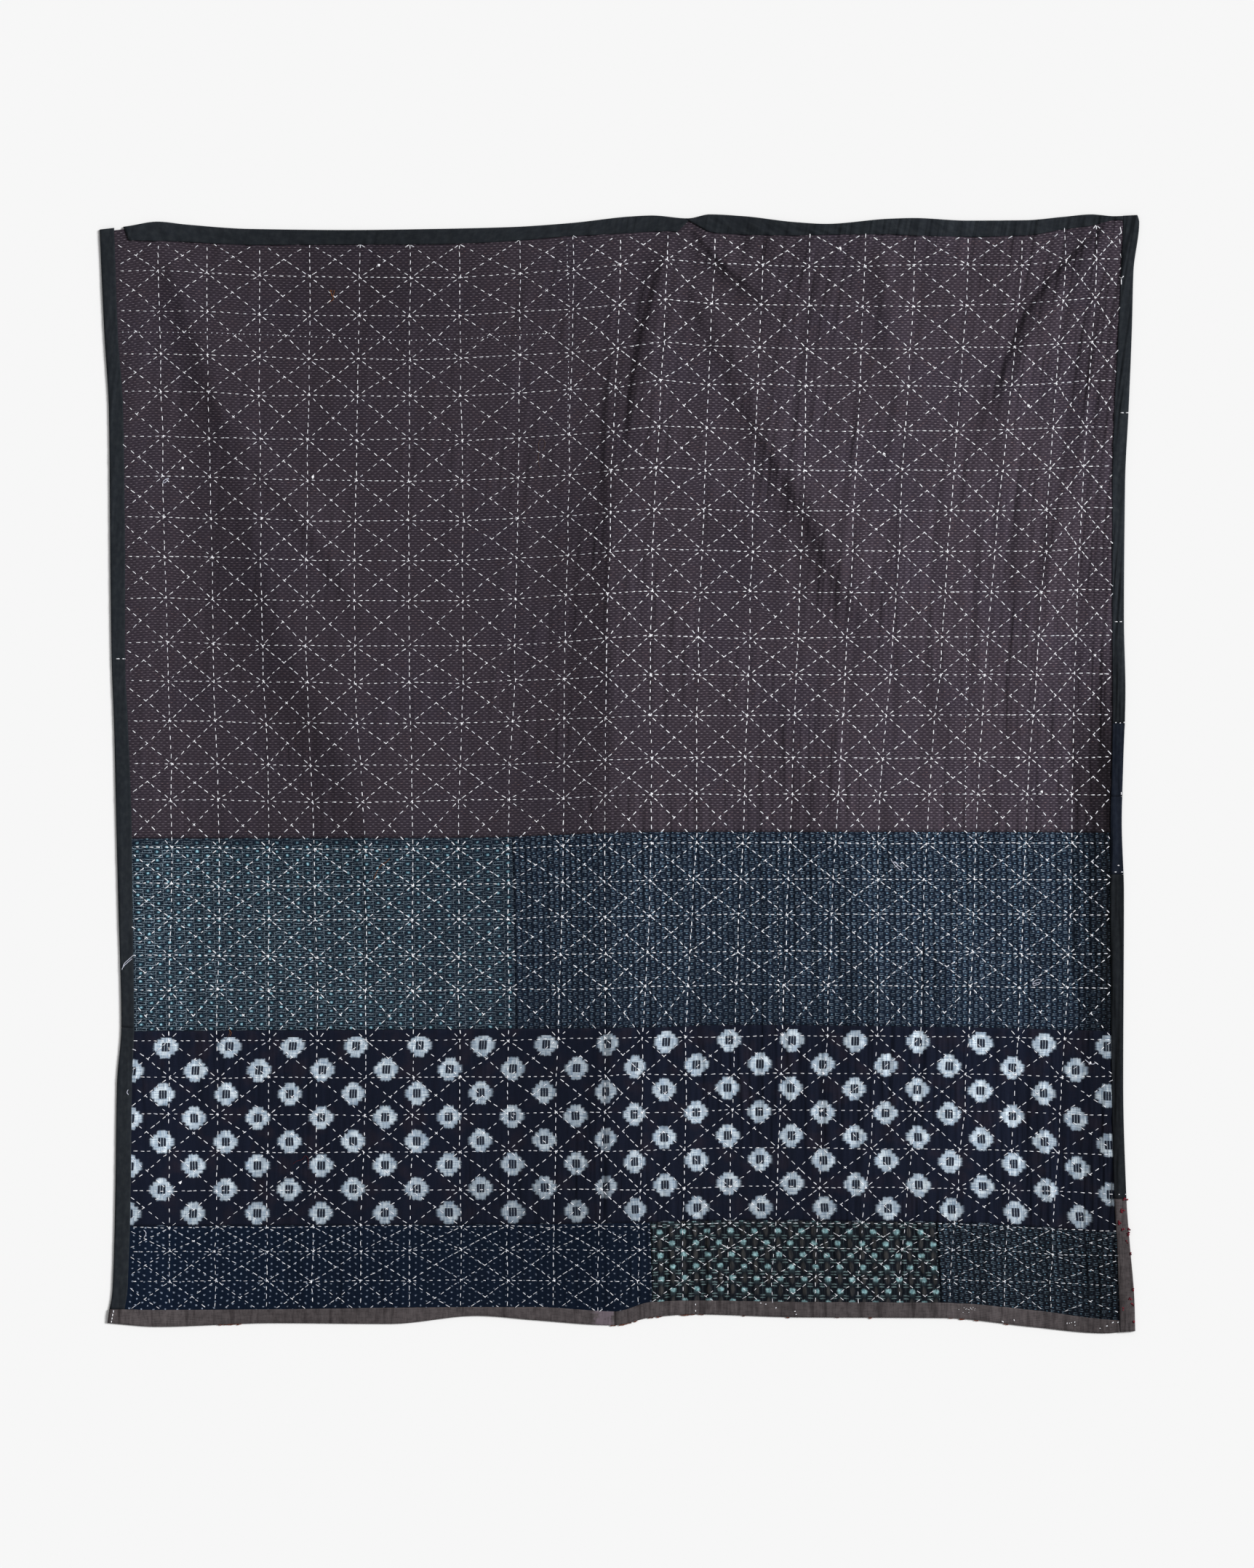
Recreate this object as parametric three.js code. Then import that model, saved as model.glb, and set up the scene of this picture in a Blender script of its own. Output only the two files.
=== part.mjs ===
// A stitched patchwork bed cover of old indigo and plum cottons, spread out flat on a surface.
//
// Seven panels of cloth are seamed into four bands: a tall plum band, a band of two indigo lattice
// cloths, a band of spotted cloth and a low foot band of three cloths. Eleven narrow binding strips are
// folded over the raw outer edge. The cover keeps soft folds from being hung and stored, and they stand
// up as low ridges; between them, and all round its edge, it lies flat on the surface.
//
// X runs across the cover, Y from its foot to its head, Z up. The origin is the bottom centre of its box.

import * as THREE from 'three';

// Thicknesses and clearances, in millimetres.
const CLOTH_THICK = 1.6; // two layers of cotton, quilted together
const TAPE_THICK = 0.6; // one layer of a binding strip
const SEAM_GAP = 0.3; // between one piece and the next
const EDGE_ROOM = 3.5; // how far the cloth stops short of its outline, inside the folded strip

// Under the binding the cloth lies on the strip's lower layer, and comes down to the surface beyond it.
const HEM_LIFT = TAPE_THICK + SEAM_GAP;
const HEM_FLAT = 40; // the cloth is level this far in from the outline
const HEM_END = 75; // and lies on the surface from here in
const FOLD_START = 40; // folds begin this far in from the outline
const FOLD_FULL = 100; // and have their whole height from here in
const BINDING_HEIGHT = 2 * HEM_LIFT + CLOTH_THICK;

// Sections across the whole width and down each band.
const COLUMNS = 40;
const ROWS = { body: 24, middle: 7, spotted: 7, foot: 3 };

// Where the vertical seams stand, as shares of the width.
const MIDDLE_SPLIT = 0.3925;
const FOOT_SPLIT_WEST = 0.5282;
const FOOT_SPLIT_EAST = 0.8114;

// The long sides from foot to head: the outline, and the inner edge of the binding.
const WEST_SIDE = [
  { y: -755, outer: -703.5, inner: -683 },
  { y: -706, outer: -696.5, inner: -676 },
  { y: -586, outer: -693, inner: -672 },
  { y: -426, outer: -690.5, inner: -670 },
  { y: -346, outer: -684.5, inner: -667 },
  { y: -186, outer: -688.5, inner: -669 },
  { y: -68, outer: -691.5, inner: -670.5 },
  { y: 65, outer: -694.5, inner: -675.5 },
  { y: 164, outer: -698, inner: -679.5 },
  { y: 275, outer: -699.5, inner: -679.5 },
  { y: 494, outer: -701.5, inner: -682 },
  { y: 607, outer: -708, inner: -689.5 },
  { y: 749, outer: -714.5, inner: -694.5 },
];
const EAST_SIDE = [
  { y: -766, outer: 709, inner: 688.5 },
  { y: -726, outer: 708, inner: 687 },
  { y: -646, outer: 701.5, inner: 684 },
  { y: -586, outer: 697, inner: 680.5 },
  { y: -426, outer: 692.5, inner: 677 },
  { y: -166, outer: 693.5, inner: 675 },
  { y: -66, outer: 690.5, inner: 675 },
  { y: 14, outer: 692.5, inner: 677 },
  { y: 114, outer: 695.5, inner: 678 },
  { y: 214, outer: 693.5, inner: 677.5 },
  { y: 399, outer: 695, inner: 677.5 },
  { y: 503, outer: 700, inner: 680.5 },
  { y: 614, outer: 704.5, inner: 686 },
  { y: 690, outer: 706.5, inner: 689.5 },
  { y: 759, outer: 714.5, inner: 692.5 },
  { y: 768, outer: 712, inner: 692.5 },
];

// The head and foot edges from west to east.
const HEAD_EDGE = [
  { x: -714, outer: 748, inner: 733 },
  { x: -675, outer: 753, inner: 733 },
  { x: -635, outer: 759, inner: 732.5 },
  { x: -595, outer: 755, inner: 731 },
  { x: -508, outer: 749, inner: 727 },
  { x: -372, outer: 747.5, inner: 727.5 },
  { x: -252, outer: 749, inner: 728 },
  { x: -151, outer: 751.5, inner: 732 },
  { x: -68, outer: 757, inner: 739 },
  { x: 14, outer: 766, inner: 743 },
  { x: 45, outer: 767.5, inner: 745 },
  { x: 94, outer: 763.5, inner: 746 },
  { x: 124, outer: 769, inner: 744 },
  { x: 171, outer: 766.5, inner: 741 },
  { x: 240, outer: 758.5, inner: 740 },
  { x: 284, outer: 756, inner: 741 },
  { x: 370, outer: 763, inner: 741.5 },
  { x: 405, outer: 764, inner: 740 },
  { x: 477, outer: 760.5, inner: 738 },
  { x: 558, outer: 761, inner: 740 },
  { x: 609, outer: 765.5, inner: 748 },
  { x: 650, outer: 769, inner: 753.5 },
  { x: 662, outer: 768, inner: 757 },
  { x: 680, outer: 766.5, inner: 761 },
  { x: 712, outer: 768, inner: 762 },
];
const FOOT_EDGE = [
  { x: -703, outer: -755, inner: -736 },
  { x: -635, outer: -760, inner: -737 },
  { x: -475, outer: -755, inner: -736 },
  { x: -315, outer: -756, inner: -734 },
  { x: -195, outer: -745, inner: -733 },
  { x: -115, outer: -751, inner: -733 },
  { x: -7, outer: -758, inner: -739 },
  { x: 45, outer: -747, inner: -726 },
  { x: 105, outer: -743, inner: -724 },
  { x: 245, outer: -747, inner: -726 },
  { x: 445, outer: -748, inner: -727 },
  { x: 565, outer: -760, inner: -737 },
  { x: 667, outer: -769, inner: -750 },
  { x: 709, outer: -766, inner: -753 },
];

// The three seams that run right across, each dipping where the cloth has drawn up.
const CROSS_SEAMS = [
  { x: -690, body: -89, middle: -354, spotted: -622 },
  { x: -211, body: -88, middle: -351, spotted: -620 },
  { x: 50, body: -80, middle: -348, spotted: -616 },
  { x: 150, body: -80, middle: -345, spotted: -614 },
  { x: 450, body: -80, middle: -348, spotted: -617 },
  { x: 690, body: -81, middle: -354, spotted: -632 },
];

// Each fold is a ridge along its crest, from head to foot, with a flank to the west and one to the east.
const FOLDS = [
  {
    name: 'long drape from the west corner',
    height: 12,
    west: 60,
    east: 85,
    crest: [[-598, 700], [-535, 464], [-475, 284], [-415, 152], [-343, -64]],
  },
  {
    name: 'storage crease down the middle',
    height: 10,
    west: 95,
    east: 65,
    crest: [[-15, 470], [-16, 200], [-14, -300], [-13, -740]],
  },
  {
    name: 'drape from the middle of the head',
    height: 11,
    west: 48,
    east: 55,
    crest: [[76, 745], [42, 650], [10, 548], [-10, 420], [-14, 330]],
  },
  {
    name: 'short pleat beside it',
    height: 7,
    west: 36,
    east: 40,
    crest: [[112, 742], [165, 705], [222, 660]],
  },
  {
    name: 'drape down the east half',
    height: 12,
    west: 45,
    east: 65,
    crest: [[133, 660], [193, 529], [253, 374], [313, 279], [345, 200]],
  },
  {
    name: 'drape from the east corner',
    height: 12,
    west: 45,
    east: 50,
    crest: [[660, 722], [584, 594], [512, 486], [448, 350]],
  },
  {
    name: 'pleat under the head binding',
    height: 6,
    west: 32,
    east: 60,
    crest: [[372, 730], [376, 640], [388, 530]],
  },
  {
    name: 'soft swell on the east half',
    height: 6,
    west: 45,
    east: 60,
    crest: [[590, 480], [576, 296], [528, 104]],
  },
  {
    name: 'soft swell beside the east binding',
    height: 5,
    west: 40,
    east: 40,
    crest: [[650, 320], [632, 160], [604, -10]],
  },
  {
    name: 'pleat into the lattice band',
    height: 6,
    west: 42,
    east: 50,
    crest: [[363, 210], [383, 64], [373, -86], [363, -330]],
  },
  {
    name: 'small pleat west of it',
    height: 5,
    west: 38,
    east: 45,
    crest: [[243, 220], [263, 64], [258, -130]],
  },
  {
    name: 'pleat in the spotted band',
    height: 5,
    west: 38,
    east: 45,
    crest: [[290, -370], [298, -590]],
  },
];

const COLOURS = {
  plum: 0x403a42,
  lattice_teal: 0x414e5a,
  lattice_blue: 0x3b424f,
  spotted: 0x434956,
  navy_dotted: 0x242c39,
  coarse_teal: 0x383f46,
  binding_black: 0x272b30,
  binding_navy: 0x1f2531,
  binding_umber: 0x4c4747,
};

// One cloth panel: its band, and its share of the width.
const PANELS = [
  { node: 'panel_plum', band: 'body', from: 0, to: 1, colour: 'plum' },
  { node: 'panel_lattice_teal', band: 'middle', from: 0, to: MIDDLE_SPLIT, colour: 'lattice_teal' },
  { node: 'panel_lattice_blue', band: 'middle', from: MIDDLE_SPLIT, to: 1, colour: 'lattice_blue' },
  { node: 'panel_spotted', band: 'spotted', from: 0, to: 1, colour: 'spotted' },
  { node: 'panel_foot_navy', band: 'foot', from: 0, to: FOOT_SPLIT_WEST, colour: 'navy_dotted' },
  { node: 'panel_foot_teal', band: 'foot', from: FOOT_SPLIT_WEST, to: FOOT_SPLIT_EAST, colour: 'coarse_teal' },
  { node: 'panel_foot_blue', band: 'foot', from: FOOT_SPLIT_EAST, to: 1, colour: 'lattice_blue' },
];

// The binding strips. A side strip runs between two heights, a head or foot strip between two widths.
// An end that is cut on the slant or follows another edge gives its outer and inner corner itself.
const NOTCH_WEST = { outer: [93.5, 763.5], inner: [86.5, 746] };
const NOTCH_EAST = { outer: [94.2, 763.5], inner: [116.5, 744.5] };
const BINDINGS = [
  {
    node: 'binding_head_west',
    side: 'head',
    start: { outer: [-682, 752], inner: [-674, 733] },
    end: NOTCH_WEST,
    colour: 'binding_black',
  },
  {
    node: 'binding_head_east',
    side: 'head',
    start: NOTCH_EAST,
    end: { outer: [692, 766.9], inner: [692, 761.2] },
    colour: 'binding_black',
  },
  {
    node: 'binding_west_upper',
    side: 'west',
    start: { outer: [-684.6, -348.2], inner: [-667, -348.2] },
    end: { outer: [-714.5, 748], inner: [-694.5, 750.2] },
    colour: 'binding_black',
  },
  {
    node: 'binding_west_lower',
    side: 'west',
    start: { outer: [-700.8, -735.6], inner: [-680, -735.6] },
    end: { outer: [-684.6, -348.5], inner: [-667, -348.5] },
    colour: 'binding_black',
  },
  {
    node: 'binding_east_1',
    side: 'east',
    start: { outer: [694.8, 70], inner: [677.7, 70] },
    end: { outer: [712, 768], inner: [692.5, 767] },
    colour: 'binding_black',
  },
  {
    node: 'binding_east_2',
    side: 'east',
    start: { outer: [691.2, -31], inner: [675.8, -31] },
    end: { outer: [694.8, 69.7], inner: [677.7, 69.7] },
    colour: 'binding_navy',
  },
  {
    node: 'binding_east_3',
    side: 'east',
    start: { outer: [693, -138], inner: [675, -138] },
    end: { outer: [691.2, -31.3], inner: [675.8, -31.3] },
    colour: 'binding_navy',
  },
  {
    node: 'binding_east_4',
    side: 'east',
    start: { outer: [697, -584], inner: [680.4, -584] },
    end: { outer: [693, -138.3], inner: [675, -138.3] },
    colour: 'binding_black',
  },
  {
    node: 'binding_east_5',
    side: 'east',
    start: { outer: [709, -766], inner: [688.5, -767.4] },
    end: { outer: [697, -584.3], inner: [680.4, -584.3] },
    colour: 'binding_umber',
  },
  {
    node: 'binding_foot_west',
    side: 'foot',
    start: { outer: [-703.5, -755], inner: [-701, -736] },
    end: { outer: [-7, -758], inner: [-7, -739] },
    colour: 'binding_umber',
  },
  {
    node: 'binding_foot_east',
    side: 'foot',
    start: { outer: [-6.7, -758], inner: [-6.7, -739] },
    end: { outer: [687.8, -767.5], inner: [686.8, -751.5] },
    colour: 'binding_umber',
  },
];
const BINDING_STEP = 60; // the most between one section of a strip and the next

// A smooth curve through a table's rows, which never swings past them.
function riseBetween(rows, key, column, i) {
  return (rows[i + 1][column] - rows[i][column]) / (rows[i + 1][key] - rows[i][key]);
}

function slopeAt(rows, key, column, i) {
  const before = riseBetween(rows, key, column, Math.max(i - 1, 0));
  const after = riseBetween(rows, key, column, Math.min(i, rows.length - 2));
  return before * after <= 0 ? 0 : (2 * before * after) / (before + after);
}

function along(rows, key, column, at) {
  let i = 0;
  while (i < rows.length - 2 && at > rows[i + 1][key]) {
    i += 1;
  }
  const span = rows[i + 1][key] - rows[i][key];
  const t = THREE.MathUtils.clamp((at - rows[i][key]) / span, 0, 1);
  const startSlope = slopeAt(rows, key, column, i) * span;
  const endSlope = slopeAt(rows, key, column, i + 1) * span;
  const rise = rows[i + 1][column] - rows[i][column];
  const bend = startSlope + endSlope - 2 * rise;
  return rows[i][column] + t * (startSlope + t * (rise - startSlope - bend + t * bend));
}

const westOutline = (y) => along(WEST_SIDE, 'y', 'outer', y);
const eastOutline = (y) => along(EAST_SIDE, 'y', 'outer', y);
const headOutline = (x) => along(HEAD_EDGE, 'x', 'outer', x);
const footOutline = (x) => along(FOOT_EDGE, 'x', 'outer', x);
const seamHeight = (x, column) => along(CROSS_SEAMS, 'x', column, x);

// The upper and lower edge of each band.
const BAND_EDGES = {
  body: { top: (x) => headOutline(x) - EDGE_ROOM, bottom: (x) => seamHeight(x, 'body') + SEAM_GAP / 2 },
  middle: {
    top: (x) => seamHeight(x, 'body') - SEAM_GAP / 2,
    bottom: (x) => seamHeight(x, 'middle') + SEAM_GAP / 2,
  },
  spotted: {
    top: (x) => seamHeight(x, 'middle') - SEAM_GAP / 2,
    bottom: (x) => seamHeight(x, 'spotted') + SEAM_GAP / 2,
  },
  foot: { top: (x) => seamHeight(x, 'spotted') - SEAM_GAP / 2, bottom: (x) => footOutline(x) + EDGE_ROOM },
};

// How far a ridge lifts the cloth at a point: full on the crest, none at the foot of each flank.
function foldLift(fold, x, y) {
  const point = new THREE.Vector2(x, y);
  let nearest = { distance: Infinity, east: true, run: 0 };
  let total = 0;
  for (let i = 0; i < fold.crest.length - 1; i += 1) {
    const start = new THREE.Vector2(...fold.crest[i]);
    const step = new THREE.Vector2(...fold.crest[i + 1]).sub(start);
    const offset = point.clone().sub(start);
    const share = THREE.MathUtils.clamp(offset.dot(step) / step.lengthSq(), 0, 1);
    const distance = offset.distanceTo(step.clone().multiplyScalar(share));
    if (distance < nearest.distance) {
      nearest = { distance, east: step.cross(offset) > 0, run: total + share * step.length() };
    }
    total += step.length();
  }
  const flank = nearest.east ? fold.east : fold.west;
  if (nearest.distance >= flank) {
    return 0;
  }
  const profile = 0.5 * (1 + Math.cos((Math.PI * nearest.distance) / flank));
  const fade = Math.sin(Math.PI * THREE.MathUtils.clamp(nearest.run / total, 0.02, 0.98)) ** 0.5;
  return fold.height * profile * fade;
}

// The height of the cloth's underside above the surface.
function undersideHeight(x, y) {
  const inset = Math.min(
    x - westOutline(y),
    eastOutline(y) - x,
    headOutline(x) - y,
    y - footOutline(x),
  );
  const hem = HEM_LIFT * (1 - THREE.MathUtils.smoothstep(inset, HEM_FLAT, HEM_END));
  const freedom = THREE.MathUtils.smoothstep(inset, FOLD_START, FOLD_FULL);
  const folds = FOLDS.reduce((sum, fold) => sum + foldLift(fold, x, y), 0);
  return hem + freedom * folds;
}

// A point of a band, at a share of the width and of the band's own height.
function bandPoint(edges, across, up) {
  let x = 0;
  let y = (edges.top(0) + edges.bottom(0)) / 2;
  for (let pass = 0; pass < 4; pass += 1) {
    const west = westOutline(y) + EDGE_ROOM;
    const east = eastOutline(y) - EDGE_ROOM;
    x = THREE.MathUtils.lerp(west, east, across);
    y = THREE.MathUtils.lerp(edges.bottom(x), edges.top(x), up);
  }
  return new THREE.Vector2(x, y);
}

// Evenly spaced sections across the width, moved so that one stands on each vertical seam.
function columnShares() {
  const shares = Array.from({ length: COLUMNS + 1 }, (_, i) => i / COLUMNS);
  for (const split of [MIDDLE_SPLIT, FOOT_SPLIT_WEST, FOOT_SPLIT_EAST]) {
    shares[Math.round(split * COLUMNS)] = split;
  }
  return shares;
}

// A closed body from numbered corners and four-cornered faces, turned so that its faces point out.
function closedBody(corners, quads) {
  const triangles = quads.flatMap(([a, b, c, d]) => [[a, b, c], [a, c, d]]);
  const volume = triangles.reduce((sum, [a, b, c]) => {
    const normal = new THREE.Vector3().crossVectors(corners[b], corners[c]);
    return sum + corners[a].dot(normal);
  }, 0);
  const facing = volume > 0 ? triangles : triangles.map(([a, b, c]) => [a, c, b]);
  const geometry = new THREE.BufferGeometry();
  geometry.setAttribute('position', new THREE.Float32BufferAttribute(corners.flatMap((p) => [p.x, p.y, p.z]), 3));
  geometry.setIndex(facing.flat());
  geometry.computeVertexNormals();
  return geometry;
}

function panelGeometry({ band, from, to }) {
  const edges = BAND_EDGES[band];
  const shares = columnShares().filter((share) => share >= from && share <= to);
  const rows = ROWS[band];
  const perRow = shares.length;
  const layer = perRow * (rows + 1);
  const under = [];
  for (let row = 0; row <= rows; row += 1) {
    for (const share of shares) {
      const place = bandPoint(edges, share, row / rows);
      if (share === from && from > 0) {
        place.x += SEAM_GAP / 2;
      }
      if (share === to && to < 1) {
        place.x -= SEAM_GAP / 2;
      }
      under.push(new THREE.Vector3(place.x, place.y, undersideHeight(place.x, place.y)));
    }
  }
  const over = under.map((p) => new THREE.Vector3(p.x, p.y, p.z + CLOTH_THICK));
  const at = (column, row) => row * perRow + column;
  const quads = [];
  for (let row = 0; row < rows; row += 1) {
    for (let column = 0; column < perRow - 1; column += 1) {
      const cell = [at(column, row), at(column + 1, row), at(column + 1, row + 1), at(column, row + 1)];
      quads.push(cell.map((corner) => corner + layer));
      quads.push([...cell].reverse());
    }
  }
  const rim = [];
  for (let column = 0; column < perRow - 1; column += 1) rim.push(at(column, 0));
  for (let row = 0; row < rows; row += 1) rim.push(at(perRow - 1, row));
  for (let column = perRow - 1; column > 0; column -= 1) rim.push(at(column, rows));
  for (let row = rows; row > 0; row -= 1) rim.push(at(0, row));
  rim.forEach((corner, i) => {
    const next = rim[(i + 1) % rim.length];
    quads.push([corner, next, next + layer, corner + layer]);
  });
  return closedBody([...under, ...over], quads);
}

// The outer and inner edge of a strip, a section at a time, between its two ends.
function bindingSections({ side, start, end }) {
  const tables = { west: WEST_SIDE, east: EAST_SIDE, head: HEAD_EDGE, foot: FOOT_EDGE };
  const upright = side === 'west' || side === 'east';
  const table = tables[side];
  const key = upright ? 'y' : 'x';
  const keyOf = (corner) => (upright ? corner[1] : corner[0]);
  const first = Math.max(keyOf(start.outer), keyOf(start.inner));
  const last = Math.min(keyOf(end.outer), keyOf(end.inner));
  const stops = [first, ...table.map((row) => row[key]).filter((at) => at > first && at < last), last];
  const sections = [start];
  for (let i = 0; i < stops.length - 1; i += 1) {
    const count = Math.ceil((stops[i + 1] - stops[i]) / BINDING_STEP);
    for (let k = i === 0 ? 1 : 0; k < count; k += 1) {
      const at = THREE.MathUtils.lerp(stops[i], stops[i + 1], k / count);
      const outer = along(table, key, 'outer', at);
      const inner = along(table, key, 'inner', at);
      sections.push(upright ? { outer: [outer, at], inner: [inner, at] } : { outer: [at, outer], inner: [at, inner] });
    }
  }
  sections.push(end);
  return sections;
}

// A strip folded over the cloth's edge: a layer below, the fold, and a layer above.
function bindingGeometry(binding) {
  const sections = bindingSections(binding);
  const corners = sections.flatMap(({ outer, inner }) => {
    const out = new THREE.Vector2(...outer);
    const edge = new THREE.Vector2(...inner);
    const width = out.distanceTo(edge);
    const lining = out.clone().lerp(edge, TAPE_THICK / width);
    const at = (place, z) => new THREE.Vector3(place.x, place.y, z);
    const upper = BINDING_HEIGHT - TAPE_THICK;
    return [
      at(out, 0),
      at(edge, 0),
      at(edge, TAPE_THICK),
      at(lining, TAPE_THICK),
      at(lining, upper),
      at(edge, upper),
      at(edge, BINDING_HEIGHT),
      at(out, BINDING_HEIGHT),
    ];
  });
  const ring = 8;
  const quads = [];
  for (let i = 0; i < sections.length - 1; i += 1) {
    for (let k = 0; k < ring; k += 1) {
      const next = (k + 1) % ring;
      quads.push([i * ring + k, i * ring + next, (i + 1) * ring + next, (i + 1) * ring + k]);
    }
  }
  const cap = [[0, 1, 2, 3], [0, 3, 4, 7], [4, 5, 6, 7]];
  const lastRing = (sections.length - 1) * ring;
  for (const face of cap) {
    quads.push([...face].reverse());
    quads.push(face.map((corner) => corner + lastRing));
  }
  return closedBody(corners, quads);
}

function piece(node, colour, geometry) {
  const material = new THREE.MeshStandardMaterial({ color: COLOURS[colour], roughness: 0.9, metalness: 0 });
  const mesh = new THREE.Mesh(geometry, material);
  mesh.name = node;
  return mesh;
}

const cover = new THREE.Group();
for (const panel of PANELS) {
  cover.add(piece(panel.node, panel.colour, panelGeometry(panel)));
}
for (const binding of BINDINGS) {
  cover.add(piece(binding.node, binding.colour, bindingGeometry(binding)));
}

export default cover;
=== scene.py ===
import bmesh
import bpy
import numpy as np
from mathutils import Euler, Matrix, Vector, noise


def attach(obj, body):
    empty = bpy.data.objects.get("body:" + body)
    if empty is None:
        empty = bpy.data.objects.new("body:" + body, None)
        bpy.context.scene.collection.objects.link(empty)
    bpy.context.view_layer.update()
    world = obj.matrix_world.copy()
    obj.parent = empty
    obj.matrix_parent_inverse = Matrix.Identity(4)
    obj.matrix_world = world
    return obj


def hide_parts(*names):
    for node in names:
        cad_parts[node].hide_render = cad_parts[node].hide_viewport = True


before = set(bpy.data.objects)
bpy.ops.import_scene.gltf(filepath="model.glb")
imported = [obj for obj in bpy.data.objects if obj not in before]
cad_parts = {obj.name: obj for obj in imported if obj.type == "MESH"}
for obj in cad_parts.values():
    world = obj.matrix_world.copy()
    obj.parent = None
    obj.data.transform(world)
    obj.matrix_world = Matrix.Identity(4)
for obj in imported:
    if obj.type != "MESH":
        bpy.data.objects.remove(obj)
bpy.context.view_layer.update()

# ---------------------------------------------------------------------------------------------
# Plum panel. The tall upper cloth of the cover: an old plum and grey cotton with rows of short
# woven dashes, over a plain cotton backing. Both layers are quilted together by hand, and the
# cloth keeps soft folds from being hung and a crease from being stored folded in half.
# ---------------------------------------------------------------------------------------------

MM = 0.001
CLOTH_THICK = 1.6 * MM
TAPE_THICK = 0.6 * MM
TAPE_GAP = 0.3 * MM
HEM_LIFT = TAPE_THICK + TAPE_GAP
# How far the cloth's own edge lies inside the outline of its binding.
EDGE_ROOM = 3.5 * MM
# Where the cover was folded in half to be stored: its line of painted shade, and its crease.
STORAGE_LINE, STORAGE_CREASE = -18 * MM, -15 * MM
# How far in from the binding the hem lies flat and ends, the folds start and are full, and the
# quilted cloth is free to swell.
HEM_FLAT, HEM_END = 20 * MM, 55 * MM
FOLD_START, FOLD_FULL = 2 * MM, 45 * MM
SWELL_FULL = 10 * MM

# The sides from foot to head: height, outline, and the binding's inner edge.
WEST_SIDE = MM * np.array([
    (-755, -703.5, -683), (-706, -696.5, -676), (-586, -693, -672), (-426, -690.5, -670),
    (-346, -684.5, -667), (-186, -688.5, -669), (-68, -691.5, -670.5), (65, -694.5, -675.5),
    (164, -698, -679.5), (275, -699.5, -679.5), (494, -701.5, -682), (607, -708, -689.5),
    (749, -714.5, -694.5),
])
EAST_SIDE = MM * np.array([
    (-766, 709, 688.5), (-726, 708, 687), (-646, 701.5, 684), (-586, 697, 680.5),
    (-426, 692.5, 677), (-166, 693.5, 675), (-66, 690.5, 675), (14, 692.5, 677),
    (114, 695.5, 678), (214, 693.5, 677.5), (399, 695, 677.5), (503, 700, 680.5),
    (614, 704.5, 686), (690, 706.5, 689.5), (759, 714.5, 692.5), (768, 712, 692.5),
])
# The head and foot from west to east: place, outline, and the binding's inner edge.
HEAD_EDGE = MM * np.array([
    (-714, 748, 733), (-675, 753, 733), (-635, 759, 732.5), (-595, 755, 731), (-508, 749, 727),
    (-372, 747.5, 727.5), (-252, 749, 728), (-151, 751.5, 732), (-68, 757, 739), (14, 766, 743),
    (45, 767.5, 745), (94, 763.5, 746), (124, 769, 744), (171, 766.5, 741), (240, 758.5, 740),
    (284, 756, 741), (370, 763, 741.5), (405, 764, 740), (477, 760.5, 738), (558, 761, 740),
    (609, 765.5, 748), (650, 769, 753.5), (662, 768, 757), (680, 766.5, 761), (712, 768, 762),
])
FOOT_EDGE = MM * np.array([
    (-703, -755, -736), (-635, -760, -737), (-475, -755, -736), (-315, -756, -734),
    (-195, -745, -733), (-115, -751, -733), (-7, -758, -739), (45, -747, -726),
    (105, -743, -724), (245, -747, -726), (445, -748, -727), (565, -760, -737),
    (667, -769, -750), (709, -766, -753),
])
# The three seams that run right across, from west to east: place, then each seam's height.
CROSS_SEAMS = MM * np.array([
    (-690, -89, -354, -622), (-211, -88, -351, -620), (50, -80, -348, -616),
    (150, -80, -345, -614), (450, -80, -348, -617), (690, -81, -354, -632),
])
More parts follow.
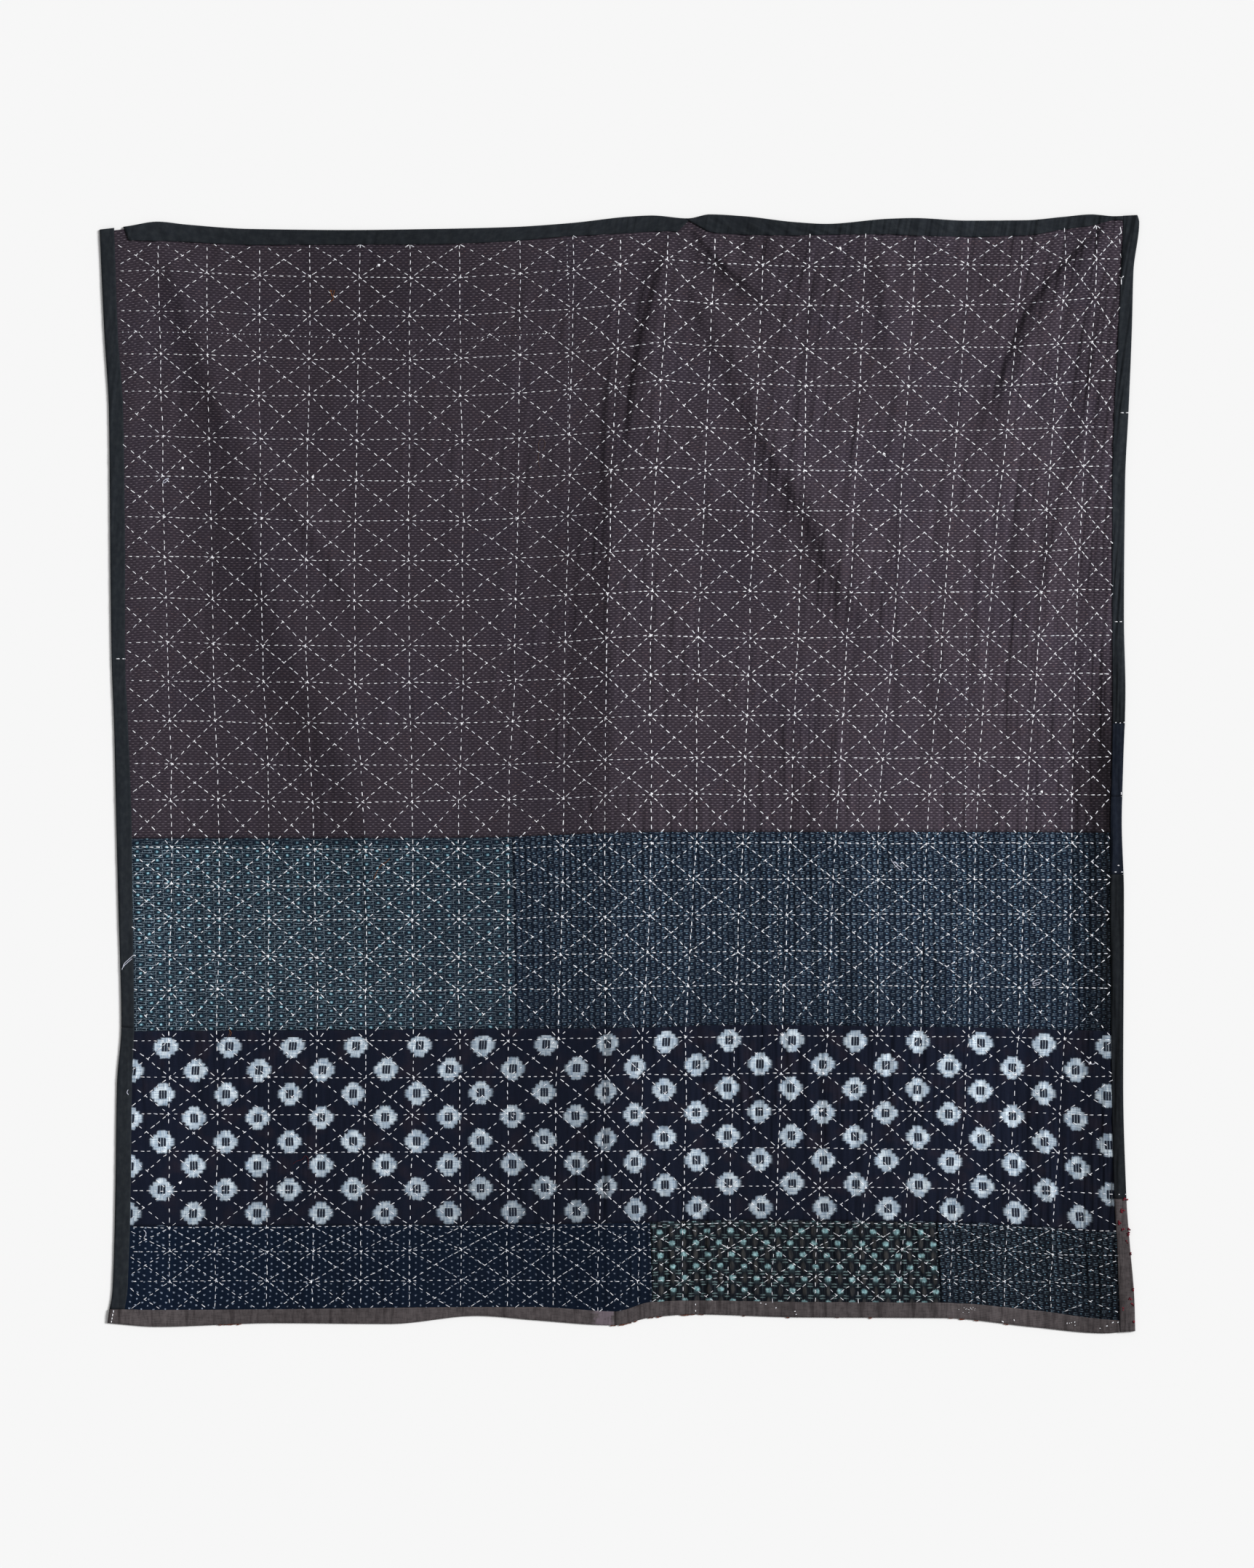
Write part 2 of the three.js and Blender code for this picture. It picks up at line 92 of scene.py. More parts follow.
# Each fold from foot to head: height up the cover, place of the crest, how far it lifts the
# cloth, and the width of its west and its east flank.
FOLDS = [MM * np.array(rows) for rows in (
    [(-360, -300, 0, 50, 120), (-200, -322, 4, 56, 140), (-33, -362, 10, 80, 160),
     (97, -415, 14, 86, 180), (222, -470, 14, 88, 180), (364, -505, 14, 80, 180),
     (464, -533, 13, 60, 180), (564, -566, 11, 46, 170), (664, -604, 9, 38, 150),
     (735, -624, 4, 34, 120)],
    [(-745, -14, 6, 120, 150), (-300, -15, 9, 150, 220), (0, -14, 12, 150, 260),
     (214, -9, 15, 110, 280), (364, 9, 16, 95, 280), (464, 28, 16, 75, 260),
     (564, 44, 14, 54, 220), (664, 54, 10, 34, 160), (742, 64, 4, 30, 120)],
    [(150, 352, 0, 34, 60), (200, 338, 3, 36, 80), (249, 313, 7, 40, 105), (357, 268, 11, 44, 110),
     (454, 208, 9, 46, 95), (564, 166, 7, 42, 80), (620, 132, 6, 38, 70), (690, 92, 0, 34, 60)],
    [(400, 490, 0, 34, 60), (503, 526, 6, 32, 70), (567, 553, 9.5, 32, 75),
     (626, 580, 10.5, 33, 75), (685, 622, 10.5, 33, 70), (726, 657, 10, 31, 50),
     (752, 682, 9, 24, 40)],
    [(480, 392, 0, 24, 38), (560, 376, 3, 24, 42), (620, 368, 5, 24, 45), (670, 364, 6, 24, 45),
     (738, 362, 5, 24, 42)],
    [(640, 205, 0, 20, 40), (690, 152, 8, 22, 50), (744, 104, 8, 22, 50)],
    [(-350, 330, 4, 50, 60), (-200, 326, 6, 58, 80), (-60, 311, 6, 76, 110), (60, 294, 6, 88, 120),
     (170, 288, 0, 80, 100)],
    [(-60, 528, 0, 30, 50), (14, 538, 2.5, 34, 60), (141, 553, 3.5, 34, 60), (271, 584, 4, 34, 60),
     (336, 606, 3.5, 34, 60), (424, 628, 2.5, 32, 50), (480, 640, 0, 30, 50)],
    [(200, -355, 0, 26, 40), (249, -372, 4, 24, 40), (336, -425, 4.5, 24, 45), (422, -490, 3, 24, 40),
     (596, -610, 0, 24, 40)],
    [(-600, 285, 0, 34, 40), (-480, 290, 3, 34, 40), (-370, 292, 0, 30, 40)],
)]
CREST_SOFT = 0.16
# The sharpest lines of the folds, from foot to head: height, place, and how deep the shadow is
# there, in thousandths of a full one.
SHARP_LINES = [MM * np.array(rows) for rows in (
    [(-750, -15, 300), (-340, -15, 350), (200, -15, 350), (357, -20, 500), (444, -22, 900),
     (534, -17, 800), (600, -11, 450), (680, -8, 0)],
    [(440, 2, 0), (480, 12, 700), (540, 17, 1200), (600, 29, 1500), (660, 45, 1400), (710, 60, 900),
     (750, 70, 300)],
    [(230, 306, 0), (290, 282, 350), (379, 237, 550), (531, 154, 450), (672, 92, 300), (700, 84, 0)],
    [(440, 488, 0), (503, 508, 900), (567, 533, 1500), (626, 556, 1900), (685, 599, 1900),
     (726, 637, 1700), (753, 668, 1300)],
    [(640, 200, 0), (661, 185, 700), (700, 140, 1300), (748, 98, 1400)],
)]


def along(table, column, at):
    """A smooth curve through a table's rows, which never swings past them."""
    key, value = table[:, 0], table[:, column]
    rise = np.diff(value) / np.diff(key)
    before, after = np.append(rise[0], rise), np.append(rise, rise[-1])
    turning = before * after <= 0
    slope = np.where(turning, 0, 2 * before * after / np.where(turning, 1, before + after))
    row = np.clip(np.searchsorted(key, at) - 1, 0, len(key) - 2)
    span = key[row + 1] - key[row]
    share = np.clip((at - key[row]) / span, 0, 1)
    start, end = slope[row] * span, slope[row + 1] * span
    climb = value[row + 1] - value[row]
    bend = start + end - 2 * climb
    return value[row] + share * (start + share * (climb - start - bend + share * bend))


def cross_line(number, x):
    """Line 0 is the cloth's head edge, 1 to 3 are the seams right across, 4 is its foot edge."""
    if number == 0:
        return along(HEAD_EDGE, 1, x) - EDGE_ROOM
    if number == 4:
        return along(FOOT_EDGE, 1, x) + EDGE_ROOM
    return along(CROSS_SEAMS, number, x)


def side_lines(y):
    """Where the cloth's west and east edges stand at a height."""
    return along(WEST_SIDE, 1, y) + EDGE_ROOM, along(EAST_SIDE, 1, y) - EDGE_ROOM


def band_point(band, across, up):
    """A point of a band, at a share of the cover's width and of the band's own height. The bands
    are numbered from the head: plum, middle, spotted and foot."""
    x = np.zeros_like(across)
    y = (cross_line(band, x) + cross_line(band + 1, x)) / 2
    for _ in range(4):
        west, east = side_lines(y)
        x = west + (east - west) * across
        lower, upper = cross_line(band + 1, x), cross_line(band, x)
        y = lower + (upper - lower) * up
    return x, y


def smooth_step(value, start, end):
    share = np.clip((value - start) / (end - start), 0, 1)
    return share * share * (3 - 2 * share)


def fold_lift(fold, x, y):
    """How far a fold lifts the cloth, rising ever more steeply up each flank to a soft crest."""
    crest = along(fold, 1, y)
    lean = (along(fold, 1, y + MM) - crest) / MM
    off = (x - crest) / np.hypot(1, lean)
    flank = np.where(off < 0, along(fold, 3, y), along(fold, 4, y))
    share = np.minimum(np.hypot(off / flank, CREST_SOFT) - CREST_SOFT, 1)
    return along(fold, 2, y) * (1 - share) ** 2


def inside_binding(x, y):
    """How far a point lies inside the bindings' inner edges, and below nought under them."""
    return np.minimum.reduce([
        x - along(WEST_SIDE, 2, y),
        along(EAST_SIDE, 2, y) - x,
        along(HEAD_EDGE, 2, x) - y,
        y - along(FOOT_EDGE, 2, x),
    ])


def underside_height(x, y):
    """The height of the cloth's underside above the surface that the cover lies on."""
    inset = inside_binding(x, y)
    hem = HEM_LIFT * (1 - smooth_step(inset, HEM_FLAT, HEM_END))
    freedom = smooth_step(inset, FOLD_START, FOLD_FULL)
    return hem + freedom * sum(fold_lift(fold, x, y) for fold in FOLDS)


# The quilting lattice: upright lines 0 to 21 from the west at five heights, and level lines 0 to
# 28 from the head, where they leave the west side. The level lines rise and fall across the cover.
UPRIGHT_LINES = MM * np.array([
    (-696, -684, -619, -555, -485, -421, -357, -289, -218, -155, -91, -30, 26, 87, 148, 210,
     269, 328, 385, 453, 529, 593, 705),
    (-361, -684, -619, -552, -482, -415, -349, -284, -220, -152, -85, -19, 33, 92, 158, 225,
     284, 353, 413, 480, 547, 612, 680),
    (-96, -682, -615, -551, -482, -420, -350, -284, -221, -153, -77, -20, 43, 104, 169, 234,
     297, 355, 421, 490, 558, 621, 678),
    (184, -689, -621, -558, -490, -430, -364, -290, -215, -143, -74, -17, 43, 109, 178, 245,
     313, 376, 443, 506, 575, 627, 680),
    (692, -702, -634, -567, -495, -425, -357, -288, -219, -136, -63, 2, 66, 130, 196, 262,
     337, 406, 480, 553, 612, 655, 698),
])
LEVEL_LINES = MM * np.array([
    736, 690, 636, 577, 525, 464, 409, 353, 298, 242, 180, 129, 73, 15, -35, -101, -151, -199,
    -250, -297, -366, -417, -468, -520, -573, -623, -657, -698, -744,
])
# Across the cover: place, and how far a level line has risen there at the head, waist and foot.
LEVEL_RISE = MM * np.array([
    (-633, 0, 0, 0), (-357, -8, -4, 1), (-218, -7, -3, 2), (-135, -2, -1, 2), (2, 9, 5, 2),
    (66, 17, 7, 2), (155, 9, 7, 6), (405, 8, 7, 4), (552, 10, 8, 0), (640, 18, 9, -6),
])
WAIST_LINE, FOOT_LINE = 12, 25.5
UPRIGHTS, LEVELS = UPRIGHT_LINES.shape[1] - 1, len(LEVEL_LINES)
# A cell of the lattice: its width, its height, and from one corner to the slanting line across.
CELL_WIDTH, CELL_HEIGHT, SLANT_GAP = 68 * MM, 57 * MM, 43 * MM
PUFF_HEIGHT, PUFF_REACH = 0.55 * MM, 6 * MM
CREASE_HEIGHT, CREASE_REACH = 1.5 * MM, 14 * MM
SEAM_DIP, SEAM_REACH = 0.5 * MM, 4 * MM


def upright_lines_at(y):
    return np.stack([along(UPRIGHT_LINES, 1 + line, y) for line in range(UPRIGHTS)], axis=-1)


def level_lines_at(x):
    line = np.arange(LEVELS)
    head, waist, foot = (along(LEVEL_RISE, column, x)[..., None] for column in (1, 2, 3))
    upper = head + (waist - head) * np.clip(line / WAIST_LINE, 0, 1)
    lower = (foot - waist) * np.clip((line - WAIST_LINE) / (FOOT_LINE - WAIST_LINE), 0, 1)
    return LEVEL_LINES + upper + lower


def between(lines, count):
    """The place at a fractional line number, where lines holds each point's own set of lines."""
    first = np.clip(np.floor(count).astype(int), 0, lines.shape[-1] - 2)
    start = np.take_along_axis(lines, first[..., None], -1)[..., 0]
    end = np.take_along_axis(lines, first[..., None] + 1, -1)[..., 0]
    return start + (end - start) * (count - first)


def lattice_point(across, down):
    """The point of the cover at fractional numbers of upright and level quilting lines, worked
    out from an even lattice by reading the two tables in turn."""
    x = MM * 65.0 * (across - 10.5)
    y = MM * (729 - 52.6 * down)
    for _ in range(5):
        x = between(upright_lines_at(y), across)
        y = between(level_lines_at(x), down)
    return x, y


def lattice_count(x, y):
    """The fractional numbers of upright and level lines at a point of the cover."""
    counts = []
    for place, lines in ((x, upright_lines_at(y)), (-y, -level_lines_at(x))):
        last = lines.shape[-1] - 2
        first = np.clip((lines < place[..., None]).sum(-1) - 1, 0, last)
        start = np.take_along_axis(lines, first[..., None], -1)[..., 0]
        end = np.take_along_axis(lines, first[..., None] + 1, -1)[..., 0]
        counts.append(first + np.clip((place - start) / (end - start), 0, 1))
    return counts


def quilting_puff(x, y):
    """The cloth swells between the lines of stitches and is drawn down along them."""
    across, down = (count % 1 for count in lattice_count(x, y))
    nearest = np.minimum.reduce([
        np.minimum(down, 1 - down) * CELL_HEIGHT,
        np.minimum(across, 1 - across) * CELL_WIDTH,
        np.abs(across - down) * SLANT_GAP,
        np.abs(across + down - 1) * SLANT_GAP,
    ])
    return PUFF_HEIGHT * (1 - np.exp(-nearest / PUFF_REACH))


WRINKLE_LEAN = 0.13


def leaning(x, y):
    """The place across the cover, followed down the wrinkles, which lean east towards the head."""
    return x - WRINKLE_LEAN * y.clip(0) ** 2


def noise_at(x, y, scale_x, scale_y, layer):
    """Noise from -1 to 1 at many points of a plane, of which each layer is a different one."""
    points = zip((x * scale_x).tolist(), (y * scale_y).tolist())
    return np.array([noise.noise((u, v, layer)) for u, v in points])


def fine_wrinkles(x, y):
    """Small upright puckers, deeper in the east half, where the cloth has been drawn up most."""
    lean = leaning(x, y)
    ridged = noise_at(lean, y, 62, 5, 3.0) + 0.6 * noise_at(lean, y, 118, 9, 8.0)
    drawn_up = noise_at(x, y, 5, 4, 21.0)
    depth = (0.7 + 0.9 * smooth_step(x, -0.1, 0.15)) * (0.75 + 1.1 * drawn_up).clip(0.2, 1.4)
    return depth * MM * (ridged + 0.7).clip(0)


def storage_crease(x, y):
    """The sharp line down the middle, where the cover was folded in half."""
    away = np.abs(x - STORAGE_CREASE)
    fade = smooth_step(y, 0.62, 0.35) * 0.8 + 0.2
    return CREASE_HEIGHT * np.exp(-away / CREASE_REACH) * fade


def from_sharp_line(line, x, y):
    """The distance east of a sharp line, and how deep its shadow is at that height."""
    place = along(line, 1, y)
    lean = (along(line, 1, y + MM) - place) / MM
    within = (y > line[0, 0]) & (y < line[-1, 0])
    return (x - place) / np.hypot(1, lean), np.where(within, along(line, 2, y), 0)


def vertex_places(mesh):
    places = np.empty(3 * len(mesh.vertices), np.float32)
    mesh.vertices.foreach_get("co", places)
    return places.reshape(-1, 3).astype(float)


def fine_grid(name, cells):
    """A flat grid, and every vertex's place on it as its shares of the grid's two ways."""
    grid = bmesh.new()
    bmesh.ops.create_grid(grid, x_segments=cells[0], y_segments=cells[1], size=0.5)
    mesh = bpy.data.meshes.new(name)
    grid.to_mesh(mesh)
    grid.free()
    return mesh, vertex_places(mesh)[:, :2] + 0.5


def add_map(mesh, name, places):
    """Stores a flat place for every vertex, as a UV map."""
    corner_of = np.empty(len(mesh.loops), np.int32)
    mesh.loops.foreach_get("vertex_index", corner_of)
    mesh.uv_layers.new(name=name).data.foreach_set("uv", places[corner_of].ravel())


def new_piece(name, data):
    piece = bpy.data.objects.new(name, data)
    bpy.context.scene.collection.objects.link(piece)
    return piece


# The flat width of the cover, and the flat heights of its four bands, that the weaves are drawn on.
NOMINAL_WIDTH = 1.38
NOMINAL_HEIGHTS = (0.832, 0.267, 0.268, 0.127)
panel_tops = []


def cloth_panel(name, band, start, end, cells):
    """A panel of cloth on a fine grid, with its place on the flat cloth and its place in the
    quilting lattice as UV maps. Its top is kept for what is sewn on it later."""
    mesh, share = fine_grid(name, cells)
    across = start + (end - start) * share[:, 0]
    x, y = band_point(band, across, share[:, 1])
    free = smooth_step(inside_binding(x, y), 0, SWELL_FULL)
    relief = free * (quilting_puff(x, y) + fine_wrinkles(x, y) + storage_crease(x, y))
    for line in (1, 2, 3):
        relief -= SEAM_DIP * free * np.exp(-(((y - cross_line(line, x)) / SEAM_REACH) ** 2))
    z = underside_height(x, y) + CLOTH_THICK + relief.clip(0)
    mesh.vertices.foreach_set("co", np.column_stack([x, y, z]).ravel())
    order = np.lexsort((share[:, 0], share[:, 1]))
    panel_tops.append((band, start, end, z[order].reshape(cells[1] + 1, cells[0] + 1)))
    flat = np.column_stack([NOMINAL_WIDTH * (across - 0.5), NOMINAL_HEIGHTS[band] * share[:, 1]])
    add_map(mesh, "cloth", flat)
    add_map(mesh, "lattice", np.column_stack(lattice_count(x, y)))
    for number, line in enumerate(SHARP_LINES):
        for label, values in zip(("east of line", "depth of line"), from_sharp_line(line, x, y)):
            stored = mesh.attributes.new("%s %d" % (label, number), "FLOAT", "POINT")
            stored.data.foreach_set("value", values)
    mesh.shade_smooth()
    panel = new_piece(name, mesh)
    backing = panel.modifiers.new("backing cloth", "SOLIDIFY")
    backing.thickness = CLOTH_THICK
    backing.offset = -1
    backing.material_offset = 1
    return panel


class Measure:
    """The output of a shader node. Reckoning with it adds Math nodes to its tree."""

    def __init__(self, socket):
        self.socket = socket
        self.tree = socket.id_data

    def beside(self, output):
        """Another output of the same node."""
        return Measure(self.socket.node.outputs[output])

    def __add__(self, other):
        return calc("ADD", self, other)

    __radd__ = __add__

    def __sub__(self, other):
        return calc("SUBTRACT", self, other)

    def __rsub__(self, other):
        return calc("SUBTRACT", other, self)

    def __mul__(self, other):
        return calc("MULTIPLY", self, other)

    def __truediv__(self, other):
        return calc("DIVIDE", self, other)

    def __rtruediv__(self, other):
        return calc("DIVIDE", other, self)

    def __pow__(self, other):
        return calc("POWER", self, other)

    def __abs__(self):
        return calc("ABSOLUTE", self)


def feed(socket, value):
    """Links a measure to a node's input, or sets the input to a plain value."""
    if isinstance(value, Measure):
        value.tree.links.new(value.socket, socket)
    else:
        socket.default_value = value


def new_node(tree, kind, inputs, output=0, **settings):
    """Adds a node with some settings and some inputs, and gives one of its outputs."""
    made = tree.nodes.new("ShaderNode" + kind)
    for name, setting in settings.items():
        setattr(made, name, setting)
    for name, value in inputs.items():
        feed(made.inputs[name], value)
    return Measure(made.outputs[output])


def tree_of(values):
    """The node tree of the measures among some values."""
    return next(value.tree for value in values if isinstance(value, Measure))


def calc(operation, *values):
    """The result of one Math node."""
    return new_node(tree_of(values), "Math", dict(enumerate(values)), operation=operation)


def highest(first, *others):
    for other in others:
        first = calc("MAXIMUM", first, other)
    return first


def step_up(value, start, end, low=0.0, high=1.0):
    """A smooth rise from low to high, as a value passes from start to end."""
    inputs = dict(enumerate((value, start, end, low, high)))
    return new_node(value.tree, "MapRange", inputs, interpolation_type="SMOOTHSTEP")


def flat_place(u, v):
    """Two measures joined to a place, for noise."""
    return new_node(u.tree, "CombineXYZ", {0: u, 1: v})


def split(place):
    """A place's measures across and up."""
    across = new_node(place.tree, "SeparateXYZ", {0: place})
    return across, across.beside(1)


def stored_map(tree, name):
    return new_node(tree, "UVMap", {}, uv_map=name)


def stored_value(tree, name):
    return new_node(tree, "Attribute", {}, "Fac", attribute_name=name)


def room_place(tree):
    """A point's place in the room, for what runs on from one cloth to the next."""
    return new_node(tree, "TexCoord", {}, "Object")


def soft_noise(place, scale, detail=2.0):
    """Noise from 0 to 1 on a place, at one scale or at a scale across and a scale up."""
    scales = (*scale, 1) if isinstance(scale, tuple) else (scale, scale, scale)
    scaled = new_node(place.tree, "Mapping", {"Vector": place, "Scale": scales})
    return new_node(place.tree, "TexNoise", {"Vector": scaled, "Scale": 1, "Detail": detail}, "Fac")


def dyed(red, green, blue):
    """A colour given in the usual steps of 0 to 255, as Blender's linear values."""
    steps = np.array([red, green, blue]) / 255
    linear = np.where(steps <= 0.04045, steps / 12.92, ((steps + 0.055) / 1.055) ** 2.4)
    return (*linear.tolist(), 1.0)


def dye_over(share, under, over):
    """One colour laid over another, by a mask. Plain colours are given in steps of 0 to 255."""
    under, over = (value if isinstance(value, Measure) else dyed(*value) for value in (under, over))
    return new_node(share.tree, "Mix", {0: share, 6: under, 7: over}, 2, data_type="RGBA")


def layered(colour, *layers):
    """Colours laid one over another, each by its own mask."""
    for share, over in layers:
        colour = dye_over(share, colour, over)
    return colour


def node_group(name, inputs, outputs):
    """An empty node group with named sockets, its inputs as measures, and its output node."""
    group = bpy.data.node_groups.new(name, "ShaderNodeTree")
    for direction, sockets in (("INPUT", inputs), ("OUTPUT", outputs)):
        for label, kind in sockets.items():
            group.interface.new_socket(label, in_out=direction, socket_type="NodeSocket" + kind)
    start = group.nodes.new("NodeGroupInput")
    given = {label: Measure(start.outputs[label]) for label in inputs}
    return group, given, group.nodes.new("NodeGroupOutput")


def put(group, **values):
    """Places a node group, and gives its outputs as measures."""
    inputs = {label.replace("_", " "): value for label, value in values.items()}
    first = new_node(tree_of(values.values()), "Group", inputs, node_tree=group)
    return {label: first.beside(label) for label in first.socket.node.outputs.keys()}


def woven_marks_group():
    """Small marks repeated across a cloth, every other row moved by a share of the pitch."""
    names = ("across", "up", "pitch across", "pitch up", "shift across", "shift up", "half width",
             "half height", "stagger", "corners", "softness")
    results = ("mask", "from centre", "from middle")
    group, given, end = node_group("woven marks", dict.fromkeys(names, "Float"),
                                   dict.fromkeys(results, "Float"))
    across = given["across"] - given["shift across"]
    up = given["up"] - given["shift up"]
    row = calc("FLOOR", up / given["pitch up"] + 0.5)
    moved = calc("FLOORED_MODULO", row, 2.0) * given["stagger"]
    across = across - moved * given["pitch across"]
    column = calc("FLOOR", across / given["pitch across"] + 0.5)
    off_x = across - column * given["pitch across"]
    off_y = up - row * given["pitch up"]
    far_x = (abs(off_x) / given["half width"]) ** given["corners"]
    far_y = (abs(off_y) / given["half height"]) ** given["corners"]
    reach = (far_x + far_y) ** (1.0 / given["corners"])
    mask = step_up(reach, given["softness"] + 1.0, 1.0 - given["softness"])
    for label, value in zip(results, (mask, off_x, off_y)):
        feed(end.inputs[label], value)
    return group


woven_marks = woven_marks_group()
# How a mark is shaped unless it says otherwise: how far every other row is moved, as a share of
# the pitch, how square its corners are, and how soft its edge is.
MARK_SHAPE = dict(stagger=0.5, corners=4.0, softness=0.35)


def marked(u, v, **sizes):
    """One kind of woven mark on a cloth, with all its sizes but its shape in millimetres."""
    sizes = {name: size if name in MARK_SHAPE else size * MM for name, size in sizes.items()}
    return put(woven_marks, across=u, up=v, **(MARK_SHAPE | sizes))


def mark(u, v, **sizes):
    return marked(u, v, **sizes)["mask"]


# Where the tone of the cloths steps lighter or darker across the cover: where a change starts
# and ends, in metres from the middle, and how much lighter the cloth is east of it.
TONE_STRIPES = [
    (-0.62, -0.56, -0.13), (-0.54, -0.46, -0.05), (-0.40, -0.27, 0.08), (0.12, 0.19, -0.06),
    (0.23, 0.30, 0.06), (0.31, 0.49, 0.14), (0.56, 0.68, -0.13),
]


def hand_dyed_group():
    """Old hand-dyed cotton: uneven dye, faint threads both ways, and years of fading, which has
    spared the west half, that lay folded under. Its colour also holds painted shade, in swags
    near the head, in small wrinkles and along the lower part of the east edge."""
    group, given, end = node_group(
        "hand dyed cotton",
        {"colour": "Color", "cloth": "Vector", "place": "Vector", "unevenness": "Float",
         "threads": "Float", "fading": "Float", "folded edge": "Float", "relief": "Float",
         "folds": "Float"},
        {"colour": "Color", "height": "Float", "roughness": "Float"})
    x, y = split(given["place"])

    # Its tone, from the dye, the threads, the fading, and painted shade in swags near the head,
    # in small wrinkles and along the east edge.
    clouds = soft_noise(given["place"], 5.0, 3.0)
    streaks = soft_noise(given["cloth"], (60, 7))
    warp = soft_noise(given["cloth"], (1900, 90), 1.0)
    weft = soft_noise(given["cloth"], (90, 1900), 1.0)
    thread = warp + weft - 1.0
    tone = (clouds + streaks - 1.0) * given["unevenness"] + thread * given["threads"] + 1.0
    faded = step_up(x, -0.02, 0.0, 0.0, 0.35) + step_up(x, 0.0, 0.35, 0.0, 0.65)
    tone = tone * (faded * given["fading"] + 1.0)
    stripes = sum((step_up(x, start, stop, 0.0, change) for start, stop, change in TONE_STRIPES),
                  0.08)
    tone = tone * (stripes * step_up(y, 0.62, 0.42, 0.4, 1.0) + 1.0)
    # Painted shade of swags across the cover near the head.
    painted_swag_shade = calc("COSINE", x * 11.6 + 0.93) * 0.11 - 0.1
    tone = tone * (painted_swag_shade * step_up(y, 0.42, 0.7) + 1.0)
    wrinkled = flat_place(x - calc("MAXIMUM", y, 0.0) ** 2.0 * WRINKLE_LEAN, y)
    # Painted shade of small folds, stronger towards the east.
    painted_fold_shade = step_up(soft_noise(wrinkled, (84, 5), 0.5), 0.5, 0.63)
    tone = tone * (painted_fold_shade * step_up(x, 0.0, 0.5, -0.08, -0.2) + 1.0)
    # Painted shade along the lower part of the east edge.
    edge = step_up(x, 0.6, 0.69, 0.0, -1.0) * given["folded edge"]
    edge = (edge + step_up(x, 0.52, 0.58, 0.0, -0.1)) * step_up(y, 0.2, 0.0)
    tone = tone * (edge + 1.0)
    grey = new_node(group, "CombineXYZ", dict.fromkeys((0, 1, 2), tone))
    toned = new_node(group, "Mix", {0: 1.0, 6: given["colour"], 7: grey}, 2, data_type="RGBA",
                     blend_type="MULTIPLY")

    # Its height, from the threads, the weave's own relief, puckers and folds.
    puckers = step_up(soft_noise(wrinkled, (75, 4.5), 0.0), 0.34, 0.7)
    small_puckers = step_up(soft_noise(wrinkled, (190, 13), 0.0), 0.3, 0.7)
    drawn_up = step_up(soft_noise(given["place"], 6.0, 1.0), 0.38, 0.62, 0.2, 1.0)
    depth = (drawn_up + step_up(x, 0.61, 0.67)) * step_up(x, -0.3, 0.2, 3.0, 6.2)
    height = (warp + weft) * 0.5 + given["relief"] + given["folds"]
    height = height + (puckers + small_puckers * 0.42) * depth

    feed(end.inputs["colour"], toned)
    feed(end.inputs["height"], height)
    feed(end.inputs["roughness"], step_up(thread, -0.4, 0.4, 0.95, 0.8))
    return group


hand_dyed = hand_dyed_group()


def new_material(name, inputs):
    """A new material with some inputs of its surface: the material, its node tree, its surface."""
    material = bpy.data.materials.new(name)
    material.use_nodes = True
    surface = material.node_tree.nodes["Principled BSDF"]
    for label, value in inputs.items():
        feed(surface.inputs[label], value)
    return material, material.node_tree, surface


def emboss(surface, height, distance):
    """Raises a surface by its height, in units of a distance."""
    raised = new_node(height.tree, "Bump", {"Height": height, "Distance": distance})
    feed(surface.inputs["Normal"], raised)


# A sharp line is a step up in the cloth: how high, in millimetres, over what width it rises, and
# how far east of it the cloth is level again.
SHADOW_STEP = 2.4
STEP_START, STEP_TOP, STEP_END = -6 * MM, 5 * MM, 50 * MM


def cloth_material(name, draw, unevenness=0.2, threads=0.3, fading=0.2, weave_depth=0.25,
                   wander=3.0, ripple=1.0, folded_edge=0.8):
    """A matt cotton. draw(u, v) lays out its colours and its relief on the flat cloth."""
    material, tree, surface = new_material(
        name, {"Specular IOR Level": 0.08, "Sheen Weight": 0.015, "Sheen Roughness": 0.5})
    cloth = stored_map(tree, "cloth")
    u, v = split(cloth)
    for reach, across, up, detail in ((wander, 24.0, (31, 40.3), 3.0), (ripple, 150.0, 170.0, 2.0)):
        u = u + soft_noise(cloth, across, detail) * (reach * MM)
        v = v + soft_noise(cloth, up, detail) * (reach * MM)
    colour, relief = draw(u, v)
    folds = 0.0
    for number in range(len(SHARP_LINES)):
        east = stored_value(tree, "east of line %d" % number)
        rise = step_up(east, STEP_START, STEP_TOP) * step_up(east, STEP_END, STEP_TOP)
        folds = folds + rise * stored_value(tree, "depth of line %d" % number)
    finish = put(hand_dyed, folds=folds * (SHADOW_STEP / weave_depth), colour=colour, cloth=cloth,
                 place=room_place(tree), unevenness=unevenness, threads=threads, fading=fading,
                 folded_edge=folded_edge, relief=relief)
    feed(surface.inputs["Base Color"], finish["colour"])
    feed(surface.inputs["Roughness"], finish["roughness"])
    emboss(surface, finish["height"], weave_depth * MM)
    return material


def patchy(place, fineness, low):
    """Dye that took well in some threads and badly in others, from low to 1."""
    return step_up(soft_noise(place, fineness), 0.3, 0.68, low, 1.0)


def plum_cloth(u, v):
    """Rows of short dashes woven in beside ribs, every other row half a step along."""
    place = flat_place(u, v)
    dashes = marked(u, v, pitch_across=7.85, pitch_up=3.44, half_width=1.5, half_height=0.37,
                    corners=3.0, softness=0.5)
    rib = step_up(abs(dashes["from middle"] + 0.95 * MM), 0.8 * MM, 0.25 * MM)
    bluish = step_up(soft_noise(place, 9.0, 3.0), 0.4, 0.7, 0.0, 0.3)
    rusty = step_up(soft_noise(place, 60.0), 0.5, 0.7)
    dash = dye_over(rusty, (126, 118, 127), (127, 109, 111))
    woven = dashes["mask"] * patchy(place, 200.0, 0.3) * step_up(u, -0.5, -0.1, 0.8, 1.0)
    colour = layered((56, 49, 57), (bluish, (51, 47, 60)), (rib * 0.7, (36, 31, 38)), (woven, dash))
    return colour, woven - rib


